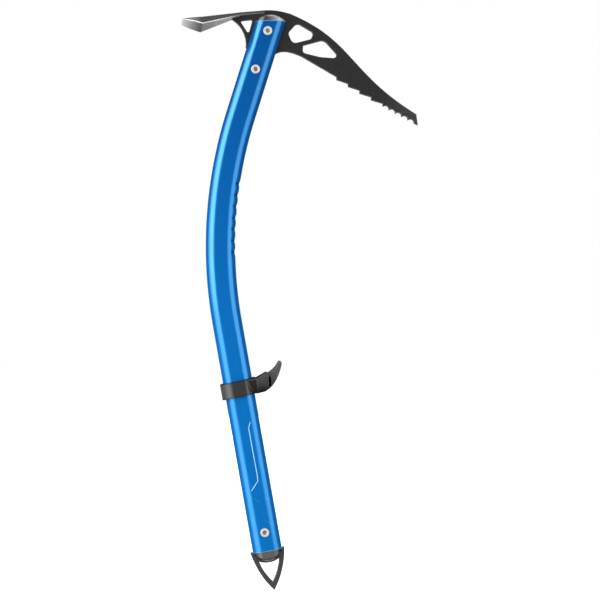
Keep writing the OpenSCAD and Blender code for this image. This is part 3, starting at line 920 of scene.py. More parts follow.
@dataclass(frozen=True)
class ShaftLine:
    """Centre line of the shaft: a straight part, a circular bend and another straight part."""

    lower_len: float = 200.0
    upper_len: float = 85.0
    radius: float = 375.0
    angle: float = 27.5
    lower_tilt: float = 10.0

    @property
    def bend_len(self) -> float:
        """Length of the bend."""
        return math.radians(self.angle) * self.radius

    @property
    def top(self) -> float:
        """Length from the origin to the tube's top."""
        return self.bend_len + self.upper_len

    def carry(self, s: np.ndarray, x: np.ndarray, y: np.ndarray) -> np.ndarray:
        """Points beside the line, in metres.

        The line leans by s / radius, less the lower tilt, within the bend. A point is the bend's centre less
        radius - x along the forward direction, plus what of s lies outside the bend along the up direction.

        Args:
            s: length along the line from the origin.
            x: offset forwards.
            y: offset across.

        Returns:
            The points.
        """
        s, x, y = np.broadcast_arrays(s, x, y)
        within = np.clip(s, 0.0, self.bend_len)
        tilt = math.radians(self.lower_tilt)
        lean = within / self.radius - tilt
        away = x - self.radius
        past = s - within
        across = self.radius * math.cos(tilt) + away * np.cos(lean) + past * np.sin(lean)
        up = self.radius * math.sin(tilt) - away * np.sin(lean) + past * np.cos(lean)
        return np.stack([across, y, up], axis=-1) * MM

    def place(self, s: float, turned: float = 0.0) -> Place:
        """The line's frame at a length from the origin, turned by degrees."""
        x, _, z = self.carry(np.array(s), np.array(0.0), np.array(0.0)) / MM
        lean = math.degrees(min(max(s, 0.0), self.bend_len) / self.radius) - self.lower_tilt
        return Place(float(x), float(z), lean + turned)


@dataclass
class Shaft:
    """The blue oval tube, with grip notches on the bend, slots for the head and a thin printed line."""

    line: ShaftLine
    depth: float = 25.4
    width: float = 17.0
    wall: float = 1.8
    top_cut: float = 17.5
    slot_half: float = 2.15
    front_slot: float = 25.9
    back_slot: float = 28.9
    notch_count: int = 7
    notch_pitch: float = 9.8
    notch_depth: float = 0.9
    notch_wrap: float = 60.0
    notch_start: float = 9.2
    # The grip's valleys get painted shade over a wrap angle round the front and a half width along the tube.
    valley_shade_wrap: Pair = (62.0, 38.0)
    valley_shade_half: float = 0.05
    rim: float = 0.7
    slant_zone: float = 22.0
    upper_gap: float = 34.0
    lower_stations: int = 17
    bend_stations: int = 37
    notch_stations: int = 13
    upper_stations: int = 6
    top_stations: int = 9
    notch_margin: float = 1.0
    print_width: float = 0.5
    print_t: float = 0.03
    print_path: ClassVar[list[Pair]] = [(4.2, -87.8), (1.9, -92.6), (2.15, -133.9), (1.8, -138.8), (-5.0, -146.2)]

    @property
    def front(self) -> float:
        """Half the depth of the tube."""
        return self.depth / 2

    @property
    def round_r(self) -> float:
        """Radius of the tube's rounds."""
        return self.width / 2

    def valleys(self) -> tuple[np.ndarray, float]:
        """Lengths along the line where the notches lie, and their pitch there."""
        pitch = self.notch_pitch * self.line.radius / (self.line.radius - self.front)
        start = math.radians(self.notch_start) * self.line.radius
        return start + pitch * np.arange(self.notch_count), pitch

    def stations(self) -> np.ndarray:
        """Lengths along the line where the section is drawn, close together over the notches and at the top."""
        low, bend_end, top = -self.line.lower_len, self.line.bend_len, self.line.top
        valleys, pitch = self.valleys()
        fine = (valleys[:, None] + pitch * np.linspace(-0.5, 0.5, self.notch_stations)).ravel()
        bend = np.linspace(0.0, bend_end, self.bend_stations)
        bend = bend[(bend < fine[0] - self.notch_margin) | (bend > fine[-1] + self.notch_margin)]
        lower = np.linspace(low, 0.0, self.lower_stations)
        upper = np.linspace(bend_end, top - self.upper_gap, self.upper_stations)
        ends = np.linspace(top - self.slant_zone, top, self.top_stations)
        single = [top - self.back_slot, top - self.front_slot, low + self.rim, top - self.rim]
        return np.unique(np.concatenate([lower, bend, fine, upper, ends, single]).round(DIGITS))

    def notched(self, s: np.ndarray, turn: np.ndarray) -> np.ndarray:
        """Radius of the tube's round at lengths and turns.

        A notch is depth (1 - sin(pi t)) deep at t pitches from it, up to half a pitch, so the grip swells between
        sharp valleys. Its floor is a circle of a larger radius that leaves the round at the wrap angle.

        Args:
            s: lengths, as a column.
            turn: turns about the round's centre, as a row.

        Returns:
            The radii.
        """
        valleys, pitch = self.valleys()
        away = np.abs(s - valleys[None]).min(axis=1, keepdims=True) / pitch
        deep = self.notch_depth * (1 - np.sin(math.pi * np.minimum(away, 0.5)))
        r = self.round_r
        shift = (2 * r * deep - deep**2) / (2 * (r - deep - r * math.cos(math.radians(self.notch_wrap))))
        floor = r - deep + shift
        cut = np.sqrt(np.maximum(floor**2 - (shift * np.sin(turn)) ** 2, 0.0)) - shift * np.cos(turn)
        return np.where(np.abs(turn) < QUARTER, np.minimum(cut, r), r)

    def groove(self, s: np.ndarray, bent: np.ndarray) -> np.ndarray:
        """How much painted shade a valley gets: 1 on its own line, less from one wrap angle round the front to the
        other.
        """
        valleys, _ = self.valleys()
        on_line = np.abs(s - valleys[None]).min(axis=1, keepdims=True) < self.valley_shade_half
        end, start = np.radians(self.valley_shade_wrap)
        return on_line * np.clip((end - bent) / (end - start), 0.0, 1.0)[None]

    def tube(self) -> Surface:
        """The tube's wall: the oval carried along the line, with its top slanted and its slots left out."""
        s = self.stations()[:, None]
        shift = self.front - self.round_r
        turn, x, y = oval(self.round_r, shift, self.slot_half)
        _, x_in, y_in = oval(self.round_r - self.wall, shift, self.slot_half)
        sunk = self.notched(s, turn[None]) - self.round_r
        slope = np.clip((s - self.line.top) / self.slant_zone + 1.0, 0.0, 1.0) * math.tan(math.radians(self.top_cut))
        outer = self.line.carry(s + slope * x, x + sunk * np.cos(turn), y + sunk * np.sin(turn))
        inner = self.line.carry(s + slope * x_in, x_in, y_in)
        middle = (s[:-1] + s[1:]) / 2
        between = np.abs(y) <= self.slot_half + NEARLY
        slot_len = np.where(x > 0, self.front_slot, self.back_slot)
        keep = ~((between & np.roll(between, -1))[None] & (middle > self.line.top - slot_len[None]))
        bent = np.abs(np.where(x > 0, turn, turn - math.pi))
        around = np.where(x > 0, self.round_r * bent, self.round_r * (math.pi - bent) + 2 * shift)
        # The end rows carry a painted highlight.
        rim = 1.0 * (np.isclose(s, s[0]) | np.isclose(s, s[-1]))
        groove = self.groove(s, np.where(x > 0, bent, math.pi))
        return shell(outer, inner, keep, along=s * MM, round=around[None] * MM, rim=rim, groove=groove)

    def printed_line(self) -> Surface:
        """The thin line on the near flat."""
        band = ribbon(np.array(self.print_path), self.print_width)
        middle = -self.round_r - self.print_t / 2
        return plate(self.line.place(0.0), band, [], 2 * self.print_t, self.print_t / 2, middle, 1)

    def build(self) -> None:
        """Makes the tube and its printed line."""
        make_piece("shaft_tube", self.tube(), BLUE, Seat(Slot.SHAFT, "shaft"), bevel=0.25, sharp=24.0)
        make_piece("shaft_line", self.printed_line(), PALE_PRINT, Seat(Slot.SHAFT))


@dataclass
class Adze:
    """The bent blade on the back of the head, with a bevel ground to its edge."""

    place: Place
    root: Pair = (-8.1, 7.4)
    lengths: Triple = (19.5, 36.0, 16.1)
    slopes: Triple = (23.5, 30.0, 20.0)
    thicknesses: tuple[float, float, float, float] = (2.6, 2.6, 6.0, 0.4)
    widths: tuple[float, float, float, float] = (5.0, 8.0, 56.4, 36.9)
    bow: float = 2.4
    corner: float = 0.9
    corner_share: float = 0.45
    stations: int = 49
    near_ends: Pair = (1e-4, 2.999)
    corner_points: int = 5
    face_points: int = 19
    least_ground: float = 0.13
    bevel_power: float = 1.6
    flank_ground: tuple[Triple, Triple] = ((1.0, 1.25, 2.0), (0.0, 0.315, 0.0))
    corner_highlight: tuple[Pair, Pair] = ((1.05, 1.5), (0.15, 1.0))
    on_corner: Pair = (0.02, 0.98)

    def top_line(self) -> np.ndarray:
        """Corners of the upper face in side view: each part goes back and down at its slope."""
        slope = np.radians(self.slopes)
        steps = -np.array(self.lengths)[:, None] * np.stack([np.cos(slope), np.sin(slope)], axis=-1)
        return np.vstack([[self.root], np.array(self.root) + np.cumsum(steps, axis=0)])

    def low_line(self) -> np.ndarray:
        """Corners of the lower face: the upper ones moved down across the mean slope of the parts that meet."""
        first, second, third = self.slopes
        mean = np.radians([first, (first + second) / 2, (second + third) / 2, third])
        down = np.stack([np.sin(mean), -np.cos(mean)], axis=-1)
        return self.top_line() + np.array(self.thicknesses)[:, None] * down

    def section(self) -> tuple[np.ndarray, np.ndarray, np.ndarray, np.ndarray]:
        """The blade's section: two faces, each followed by the two quarter rounds of one flank.

        Returns:
            For each point its share of the half width, how much of the corner's radius it is drawn in, how much of
            it it lies off its face, and 1 if that face is the lower one.
        """
        turn = np.linspace(0, QUARTER, self.corner_points)
        face, ends = np.ones(self.face_points), np.ones(self.corner_points)
        drawn_in, off = 1 - np.sin(turn), 1 - np.cos(turn)
        across = np.concatenate([np.linspace(-1, 1, self.face_points + 2)[1:-1], ends, ends])
        under = np.concatenate([0 * face, 0 * ends, ends])
        pull = np.concatenate([face, drawn_in, drawn_in[::-1]])
        fall = np.concatenate([0 * face, off, off[::-1]])
        return np.append(across, -across), np.tile(pull, 2), np.tile(fall, 2), np.append(under, 1 - under)

    def blade(self) -> Surface:
        """The blade: its section carried along the two side lines, and closed at both ends.

        The half width grows evenly from the root to the neck and to the widest place, and then shrinks to the
        edge along a bow. The ground share below grows with a power of the place along the bevel.

        Returns:
            The surface, with its ground share and a painted highlight along its lower corners.
        """
        top, low = self.top_line(), self.low_line()
        knots = np.arange(float(len(self.widths)))
        t = np.unique(np.append(np.linspace(knots[0], knots[-1], self.stations), self.near_ends))
        upper = np.stack([np.interp(t, knots, top[:, i]) for i in range(2)], axis=-1)
        lower = np.stack([np.interp(t, knots, low[:, i]) for i in range(2)], axis=-1)
        bevel = np.clip(t - 2.0, 0.0, 1.0)
        half = np.interp(t, knots, np.array(self.widths) / 2) + self.bow * 4 * bevel * (1 - bevel)
        thick = np.linalg.norm(lower - upper, axis=1)
        ease = np.minimum(self.corner, self.corner_share * thick)[:, None]
        across, pull, fall, under = self.section()
        closed = ((t == knots[0]) | (t == knots[-1]))[:, None]
        y = np.where(closed, 0.0, across * (half[:, None] - ease * pull))
        depth = np.where(closed, 0.5, under + (1 - 2 * under) * fall * ease / thick[:, None])[..., None]
        side = upper[:, None] * (1 - depth) + lower[:, None] * depth
        points = self.place.put(side[..., 0], y, side[..., 1])
        share = self.least_ground + (1 - self.least_ground) * bevel**self.bevel_power + np.interp(t, *self.flank_ground)
        below = under * (pull > self.on_corner[0])
        # The lower corners get a painted highlight through the same share as the ground bevel.
        rim = below * (pull < self.on_corner[1]) * np.interp(t, *self.corner_highlight)[:, None]
        return Surface.grid(points, ground=np.maximum(below * share[:, None], rim))

    def build(self) -> None:
        """Makes the blade."""
        make_piece("adze_blade", self.blade(), ADZE_STEEL, Seat(Slot.BARE, "adze"), sharp=20.0)


@dataclass
class Head:
    """The head plate: pick, head and tang cut from one sheet, with windows and a strut under the adze."""

    place: Place
    adze: Adze
    front: float = 12.7
    thickness: float = 4.0
    edge: float = 0.5
    reach: float = 136.2
    drop: float = 45.9
    nose: Pair = (-4.1, 8.8)
    crown: Pair = (14.7, 11.6)
    crown_pull: Pair = (58.7, -4.8)
    nose_pull: Pair = (-66.6, 16.0)
    front_root: float = 25.5
    back_root: float = 28.5
    tang_half: float = 10.44
    tang_len: float = 53.0
    strut_r: float = 24.4
    strut_shift: Pair = (0.3, 4.2)
    arm_end: float = 78.0
    arm_share: float = 0.26
    point_len: float = 3.5
    tooth_rise: Pair = (0.159, 0.00048)
    fine_count: int = 5
    fine_pitch: float = 6.1
    fine_depth: float = 2.1
    fine_land: float = 0.4
    scoop_points: int = 11
    coarse_count: int = 4
    coarse_pitch: float = 11.3
    riser: Pair = (-0.875, 2.5)
    throat: ClassVar[list[Pair]] = [(22.6, 4.9), (11.9, 6.2), (4.4, 5.2), (0.0, 0.0)]
    windows: ClassVar[list[list[Triple]]] = [
        [(22.3, 5.6, 3.9), (38.5, 2.2, 2.9), (37.9, -3.6, 2.5), (24.0, -12.3, 4.2), (17.6, -4.8, 3.5)],
        [(33.3, -11.0, 0.6), (48.8, -1.0, 5.8), (67.2, -11.6, 2.5), (50.2, -15.9, 24.0), (34.5, -17.0, 2.9)],
        [(-24.8, -7.9, 1.1), (-15.0, -3.5, 1.1), (-14.7, -14.2, 0.9), (-15.9, -15.2, 1.0)],
    ]

    def tooth_tip(self, s: np.ndarray) -> np.ndarray:
        """Tips of the teeth at distances behind the point, on a shallow parabola."""
        slope, bend = self.tooth_rise
        point = np.array([self.front + self.reach, -self.drop])
        return point + np.stack([-s, slope * s + bend * s**2], axis=-1)

    def scoops(self) -> np.ndarray:
        """The fine scoops: arcs of one radius, each centred below the middle of its chord."""
        ends = self.tooth_tip(self.point_len + self.fine_pitch * np.arange(self.fine_count + 1))
        a, b = ends[:-1], ends[1:]
        chord = (self.fine_pitch - self.fine_land) / 2
        radius = (chord**2 + self.fine_depth**2) / (2 * self.fine_depth)
        along = ((b - a) / np.linalg.norm(b - a, axis=1)[:, None])[:, None]
        down = normals(b - a)[:, None]
        centre = ((a + b) / 2)[:, None] + (radius - self.fine_depth) * down
        sweep = math.asin(chord / radius)
        turn = np.linspace(-sweep, sweep, self.scoop_points)[None, :, None]
        return (centre + radius * (np.sin(turn) * along - np.cos(turn) * down)).reshape(-1, 2)

    def coarse_teeth(self) -> np.ndarray:
        """The coarse teeth: each tip is followed by a riser that leans back."""
        last = self.point_len + self.fine_count * self.fine_pitch
        tips = self.tooth_tip(last + self.coarse_pitch * np.arange(self.coarse_count + 1))
        return np.stack([tips, tips + self.riser], axis=1).reshape(-1, 2)

    def outline(self) -> np.ndarray:
        """The plate's outline, clockwise from the adze's seat."""
        top, low = self.adze.top_line(), self.adze.low_line()
        crown, f, half = np.array(self.crown), self.front, self.tang_half
        corner = (top[0, 0] + (crown[1] - top[0, 1]) / math.tan(math.radians(self.adze.slopes[0])), crown[1])
        point = self.tooth_tip(np.array(0.0))
        nose = point + self.nose
        centre = (-f - self.strut_r - self.strut_shift[0], -self.back_root - self.strut_shift[1])
        start = math.degrees(math.asin(self.strut_shift[1] / self.strut_r))
        return np.concatenate([
            [low[1] + self.arm_share * (low[2] - low[1]), low[1], low[0]],
            curve(top[0], corner, crown),
            curve(crown, crown + self.crown_pull, nose + self.nose_pull, nose, steps=32),
            [point],
            self.scoops(),
            self.coarse_teeth(),
            curve(*self.throat, steps=32) + (f, -self.front_root),
            [(half, -self.front_root), (half, -self.tang_len), (-half, -self.tang_len)],
            [(-half, -self.back_root), (-f, -self.back_root)],
            arc(centre, self.strut_r, start, self.arm_end),
        ])

    def build(self) -> None:
        """Makes the plate with its windows."""
        windows = [rounded(window, steps=9) for window in self.windows]
        surface = plate(self.place, self.outline(), windows, self.thickness, self.edge)
        make_piece("pick_and_head", surface, COATED, Seat(Slot.COATED, "head_plate"))


@dataclass(frozen=True)
class PlugEnd:
    """What differs between the plugs of the tube's two ends.

    Dark gives the painted shade behind and in front, which grows over the flank's distances from the middle; the head's
    plugs also get a painted highlight that grows towards the front.
    """

    name: str
    length: float
    dome_r: float
    dome_rise: float
    dark: Pair
    flank: Pair = (4.5, 8.5)
    slant: float = 0.0
    painted_highlight: float = 0.0


HEAD_END = PlugEnd(
    "head", length=53.0, dome_r=17.0, dome_rise=6.2, dark=(0.6, 0.0), flank=(0.5, 6.5),
    slant=Shaft.top_cut, painted_highlight=2.4,
)
SPIKE_END = PlugEnd("spike", length=30.0, dome_r=13.0, dome_rise=9.4, dark=(0.6, 0.6))


@dataclass
class EndPlug:
    """A half plug beside a tang, with a cap on the tube's end that is part of a ball."""

    place: Place
    side: Side
    end: PlugEnd
    plug_size: Pair = (10.8, 6.6)
    cap_size: Pair = (12.2, 8.0)
    tang_t: float = 4.0
    gap: float = 0.1
    least_rise: float = 0.02
    highlight_reach: float = 6.0
    round_points: int = 41
    flat_points: int = 15
    dome_rings: int = 16

    def ring(self, size: Pair) -> np.ndarray:
        """Outline of a half oval beside the tang, as rows of x and y, from its half depth and half width."""
        half_depth, bend = size
        shift = half_depth - bend
        start = math.asin(self.tang_t / 2 / bend)
        turn = np.linspace(start, math.pi - start, self.round_points)
        x = np.where(turn < QUARTER, shift, -shift) + bend * np.cos(turn)
        flat_x = np.linspace(x[-1], x[0], self.flat_points)[1:-1]
        y = np.concatenate([bend * np.sin(turn), np.full(len(flat_x), self.tang_t / 2)])
        return np.stack([np.concatenate([x, flat_x]), y * self.side.value], axis=-1)

    def surface(self) -> Surface:
        """The plug: half ovals carried along the tube's axis, from its flat end over the cap's step to the ball.

        Rings of the dome are the cap's ring shrunk towards a point by cosines. With q a point's offset from the
        ball's centre, it rises to -q.up + sqrt((q.up)^2 - q.q + r^2), and never below the tube's slanted end.

        Returns:
            The surface, with painted shade on its flanks and ball and a painted highlight in front.
        """
        end = self.end
        plug, cap = self.ring(self.plug_size), self.ring(self.cap_size)
        heart = np.array([0.0, self.side.value * (self.cap_size[1] + self.tang_t / 2) / 2])
        stem = np.stack([plug * 0 + heart, plug, plug, cap])
        shrink = np.cos(np.linspace(0.0, QUARTER, self.dome_rings))[:, None, None]
        x, y = np.moveaxis(np.concatenate([stem, heart + (cap - heart) * shrink]), -1, 0)
        lean = math.radians(end.slant)
        seat = x * math.tan(lean) + self.gap
        away = end.dome_rise - end.dome_r
        across = x + away * math.sin(lean)
        rise = away * math.cos(lean) + np.sqrt(np.maximum(end.dome_r**2 - across**2 - y**2, 0.0))
        rise = np.maximum(rise, seat + self.least_rise)
        rise[:2] = -end.length
        rise[2:len(stem)] = seat[2:len(stem)]
        # Painted shade on the flanks and the ball, and a painted highlight towards the front.
        shade = np.where(x < 0, *end.dark) * np.interp(np.abs(x), end.flank, (0.0, 1.0))
        shade[len(stem) + 1:] = end.dark[1]
        painted_highlight = end.painted_highlight * np.clip(x / self.highlight_reach, 0.0, 1.0)
        return Surface.grid(self.place.put(x, y, rise), recess=shade, wear=painted_highlight)

    def build(self) -> None:
        """Makes the plug in place of its insert."""
        end, side = self.end.name, self.side.name.lower()
        seat = Seat(Slot.PLUG, f"{end}_insert_{side}")
        make_piece(f"{end}_plug_{side}", self.surface(), PLUG_GREY, seat, bevel=0.3, sharp=40.0)


@dataclass
class Rivet:
    """A blind structural rivet set from the near side, and the broken mandrel left in it."""

    place: Place
    z: float
    side_y: float = 8.5
    sleeve_r: float = 3.2
    flange_r: float = 4.0
    flange_t: float = 1.4
    tail_t: float = 1.8
    hole_r: float = 1.95
    sink: float = 0.6
    ease: float = 0.7
    lip_r: float = 0.3
    swell_r: float = 0.9
    cup: ClassVar[list[Pair]] = [
        (0.0, 0.0), (0.4, 0.02), (0.75, 0.3), (1.3, 0.34), (1.65, 0.08), (1.8, 0.0), (1.9, 0.12),
    ]
    head: ClassVar[list[Pair]] = [(1.9, 0.0), (1.7, 0.35), (1.2, 0.5), (0.0, 0.5)]

    @property
    def top(self) -> float:
        """Y of the flange's face."""
        return -self.side_y - self.flange_t

    @property
    def tail(self) -> float:
        """Y of the tail's end."""
        return self.side_y + self.tail_t

    def sleeve(self) -> Surface:
        """The sleeve: a ring profile with a rounded flange, a straight sleeve and a swollen tail."""
        lip = arc((self.hole_r + self.lip_r, self.top + self.lip_r), self.lip_r, 180, 270, steps=4)
        profile = np.concatenate([
            lip,
            arc((self.flange_r - self.ease, self.top + self.ease), self.ease, -90, 0, steps=6),
            [(self.flange_r, -self.side_y), (self.sleeve_r, -self.side_y)],
            [(self.sleeve_r, self.side_y), (self.flange_r, self.side_y)],
            arc((self.flange_r - self.swell_r, self.tail - self.swell_r), self.swell_r, 0, 90, steps=8),
            [(self.hole_r, self.tail)],
            lip[:1],
        ])
        # The flange's outer edge carries painted shade.
        rim = np.clip((profile[:, 0] - self.flange_r) / self.ease + 1.0, 0.0, 1.0)
        return lathe(self.place, 0.0, self.z, profile, rim=rim)

    def mandrel(self) -> Surface:
        """The mandrel: a rod whose broken near end is a shallow cup with a small cone, and whose head is domed."""
        cup = np.array(self.cup) + (0.0, self.top + self.sink)
        head = np.array(self.head) + (0.0, self.tail)
        return lathe(self.place, 0.0, self.z, np.concatenate([cup, head]))

    def build(self, name: str, node: str) -> None:
        """Makes the sleeve and the mandrel under a name, in place of nodes whose names differ in one word."""
        seats = (Seat(Slot.RIVET, node.format("rivet")), Seat(Slot.MANDREL, node.format("mandrel")))
        make_piece(f"{name}_sleeve", self.sleeve(), RIVET_SILVER, seats[0])
        make_piece(f"{name}_core", self.mandrel(), MANDREL_BROWN, seats[1])


@dataclass
class Spike:
    """The flat spike with its eye, ears beside the tube and a tang inside it."""

    place: Place
    front: float = 12.7
    thickness: float = 4.0
    edge: float = 0.4
    length: float = 34.8
    half: float = 15.0
    side_pull: Pair = (3.1, 0.564)
    ear_rise: float = 0.8
    gap: float = 0.2
    tang_half: float = 10.44
    tang_len: float = 30.0
    web_r: float = 18.3
    web_z: float = -7.8
    eye_half: float = 8.6
    eye_low: float = 26.99
    eye_pull: Pair = (1.7, 8.9)

    def outline(self) -> np.ndarray:
        """The plate's outline: tang, shoulder, ear and a curved side to the point, and their mirror image."""
        shoulder = self.front + self.gap
        pull = (self.half - self.side_pull[0], self.side_pull[1] * self.length)
        side = np.concatenate([
            [(self.tang_half, -self.tang_len), (self.tang_half, self.gap)],
            [(shoulder, self.gap), (shoulder, -self.ear_rise)],
            curve((self.half, -self.ear_rise), pull, (0.0, self.length), steps=32),
        ])
        return np.concatenate([side, side[::-1] * (-1, 1)])

    def eye(self) -> np.ndarray:
        """The eye's outline: an arc under the plugs and two curved sides that meet in a point."""
        corner = (self.eye_half, self.web_z + math.sqrt(self.web_r**2 - self.eye_half**2))
        reach = math.degrees(math.acos(self.eye_half / self.web_r))
        side = curve(corner, (corner[0] - self.eye_pull[0], corner[1] + self.eye_pull[1]), (0.0, self.eye_low))
        return np.concatenate([arc((0.0, self.web_z), self.web_r, 180 - reach, reach), side, side[::-1] * (-1, 1)])

    def build(self) -> None:
        """Makes the spike."""
        surface = plate(self.place, self.outline(), [self.eye()], self.thickness, self.edge)
        make_piece("spike_blade", surface, SPIKE_STEEL, Seat(Slot.BARE, "spike_plate"))


@dataclass
class HandRest:
    """The sliding hand rest: a collar with two ears, and a horn whose hub is the cam.

    Outlines are in the rest's own frame, with rows of x, z and radius for corners.
    """

    place: Place
    shift: float = 4.2
    inner_r: float = 8.85
    wall: float = 2.5
    height: float = 13.6
    tilt: float = 2.5
    window_half: float = 4.5
    window_high: float = 4.1
    half_levels: int = 5
    # The next fields give painted shade along the collar's top and bottom rims and a painted highlight on its back.
    rim: float = 1.2
    rim_dark: float = 0.9
    back_highlight: float = 1.3
    back_zone: Pair = (11.0, 15.0)
    ear_outer: float = 10.85
    ear_t: float = 2.8
    ear_from: float = 7.7
    # A painted highlight towards the ear's top and painted shade towards its bottom.
    ear_highlight: float = 0.8
    ear_dark: float = 0.9
    ear_zone: Pair = (-5.3, 1.0)
    relief_depth: float = 0.7
    # The floors of the ear's relief and of the horn's slit carry painted shade.
    relief_dark: float = 0.75
    relief_gap: float = 0.05
    slit_depth: float = 1.6
    slit_dark: float = 1.0
    lever_w: float = 15.5
    # A painted highlight towards the horn's top and painted shade towards its bottom.
    lever_highlight: float = 1.2
    lever_dark: float = 0.3
    lever_zone: Pair = (-6.8, 6.8)
    body_edge: float = 0.3
    face_edge: float = 0.55
    lap: float = 0.02
    floor_t: float = 0.06
    pin: Pair = (21.0, 1.2)
    drums: tuple[Pair, Pair] = ((5.2, 0.0), (4.6, -1.2))
    drum_edge: float = 0.5
    ear_corners: ClassVar[list[Triple]] = [
        (4.8, 5.8, 0.8), (16.1, 6.4, 4.0), (26.9, 10.3, 0.9), (25.3, -2.4, 2.0), (22.3, -5.9, 2.5), (14.7, -6.5, 3.0),
        (10.3, -5.8, 0.8),
    ]
    relief_corners: ClassVar[list[Triple]] = [(8.1, 5.2, 0.5), (13.1, -4.8, 0.5), (14.9, -4.8, 0.5), (15.6, 5.2, 0.5)]
    slit_corners: ClassVar[list[Triple]] = [
        (24.7, 5.4, 0.5), (28.1, 5.9, 0.8), (28.0, 1.4, 1.5), (26.9, -2.8, 0.8), (24.3, -2.4, 0.5),
    ]
    tread: ClassVar[list[Pair]] = [(22.0, 8.1), (32.1, 9.0), (38.1, 17.4)]
    tip: ClassVar[list[Pair]] = [(38.1, 17.4), (39.9, 17.6), (39.7, 14.8)]
    underside: ClassVar[list[Pair]] = [(39.7, 14.8), (36.3, 5.8), (29.3, -5.2), (20.6, -5.9)]

    def band(self) -> Surface:
        """The collar: an oval wall with tilted ends, painted shade along its rims and a painted highlight on its back,
        and a window for the pad in front.

        Where the ears cover it, its half width is held below the floor of their reliefs.

        Returns:
            The surface.
        """
        half = self.height / 2
        floor = self.ear_outer - self.relief_depth - self.relief_gap
        _, x, y = oval(self.inner_r + self.wall, self.shift, self.window_half)
        _, x_in, y_in = oval(self.inner_r, self.shift, self.window_half)
        y = np.where(x > self.ear_from, np.clip(y, -floor, floor), y)
        levels = np.append(np.linspace(0.0, half, self.half_levels), [self.window_high, half - self.rim])
        z = np.unique(np.append(-levels, levels))[:, None]
        slope = math.tan(math.radians(self.tilt)) * np.abs(z) / half
        outer = self.place.put(x, y, z + slope * x)
        inner = self.place.put(x_in, y_in, z + slope * x_in)
        between = np.abs(y) <= self.window_half + NEARLY
        in_window = between & np.roll(between, -1) & (x > 0)
        keep = ~(in_window[None] & (np.abs(z[:-1] + z[1:]) / 2 < self.window_high))
        # Painted shade along the rims and a painted highlight on the back.
        recess = self.rim_dark * np.clip((np.abs(z) - half) / self.rim + 1.0, 0.0, 1.0)
        painted_highlight = self.back_highlight * np.interp(-x, self.back_zone, (0.0, 1.0))
        return shell(outer, inner, keep, recess=recess, wear=painted_highlight[None])

    def pocketed(
        self, outline: np.ndarray, pocket: np.ndarray, side: Side, faces: Pair, depth: float, dark: float
    ) -> Surface:
        """A plate with a pocket in one face: a full layer, a face layer with a hole, and a thin sheet on the pocket's
        floor that carries painted shade.

        Args:
            outline: the plate's outline.
            pocket: the pocket's outline.
            side: the side that the face looks to.
            faces: distances of the face and of the plate's other face from the tool's plane.
            depth: the pocket's depth.
            dark: how dark the painted shade on its floor is, from 0 to 1.

        Returns:
            The surface.
        """
        outer, inner = faces
        deep = outer - depth
        sign = side.value
        full = plate(self.place, outline, [], deep - inner, self.body_edge, sign * (deep + inner) / 2)
        middle = outer - (depth + self.lap) / 2
        face = plate(self.place, outline, [pocket], depth + self.lap, self.face_edge, sign * middle, rows=4)
        floor = plate(self.place, pocket, [], self.floor_t, self.lap / 2, sign * (deep + self.lap / 2), rows=1)
        # The sheet on the floor carries painted shade.
        floor.traits["recess"] = np.full(len(floor.points), dark)
        return Surface.joined([full, face, floor])

    def worn_and_lit(self, surface: Surface, zone: Pair, painted_highlight: float, dark: float) -> Surface:
        """A surface with painted shade at one height along the collar's axis that turns into a painted highlight at
        another.
        """
        share = np.interp(self.place.height(surface.points), zone, (0.0, 1.0))
        surface.traits["wear"] = np.maximum(surface.traits["wear"], painted_highlight * share)
        surface.traits["recess"] = np.maximum(surface.traits["recess"], dark * (1 - share))
        return surface

    def ear(self, side: Side) -> Surface:
        """An ear with its V-shaped relief, with a painted highlight towards its top and painted shade towards its
        bottom.
        """
        outline, relief = rounded(self.ear_corners), rounded(self.relief_corners)
        faces = (self.ear_outer, self.ear_outer - self.ear_t)
        made = self.pocketed(outline, relief, side, faces, self.relief_depth, self.relief_dark)
        return self.worn_and_lit(made, self.ear_zone, self.ear_highlight, self.ear_dark)

    def lever(self) -> Surface:
        """The horn as two halves with a slit in each flank, with a painted highlight high up and painted shade low
        down, and the hub and cam as turned drums.
        """
        half = self.lever_w / 2
        outline = np.concatenate([curve(*self.tread), curve(*self.tip, steps=8), curve(*self.underside, steps=32)])
        slit = rounded(self.slit_corners)
        flanks = [self.pocketed(outline, slit, side, (half, 0.0), self.slit_depth, self.slit_dark) for side in Side]
        parts = [self.worn_and_lit(Surface.joined(flanks), self.lever_zone, self.lever_highlight, self.lever_dark)]
        x, z = self.pin
        for radius, offset in self.drums:
            rim = arc((radius - self.drum_edge, half - self.drum_edge), self.drum_edge, 0, 90, steps=4)
            profile = np.concatenate([[(0.0, -half)], rim[::-1] * (1, -1), rim, [(0.0, half)]])
            parts.append(lathe(self.place, x + offset, z, profile))
        return Surface.joined(parts)

    def build(self) -> None:
        """Makes the collar with its ears and the lever, and dresses the pin and the pad."""
        collar = Surface.joined([self.band()] + [self.ear(side) for side in Side])
        make_piece("rest_band", collar, REST_BLACK, Seat(Slot.REST, "rest_collar", Body.REST), bevel=0.35, sharp=30.0)
        make_piece("rest_horn", self.lever(), REST_BLACK, Seat(Slot.REST, "rest_lever", Body.LEVER), sharp=30.0)
        dress_node("rest_pin", PIN_STEEL)
        dress_node("rest_pad", PAD_RUBBER)


# Studio


def aside(azimuth: float) -> Vector:
    """Level direction at an azimuth in degrees, 0 towards -Y."""
    turn = math.radians(azimuth)
    return Vector((math.sin(turn), -math.cos(turn), 0.0))


def aim(thing: bpy.types.Object, where: Vector, target: Vector) -> None:
    """Puts an object somewhere and turns it to a target."""
    thing.location = where
    thing.rotation_euler = (target - where).to_track_quat("-Z", "Y").to_euler()


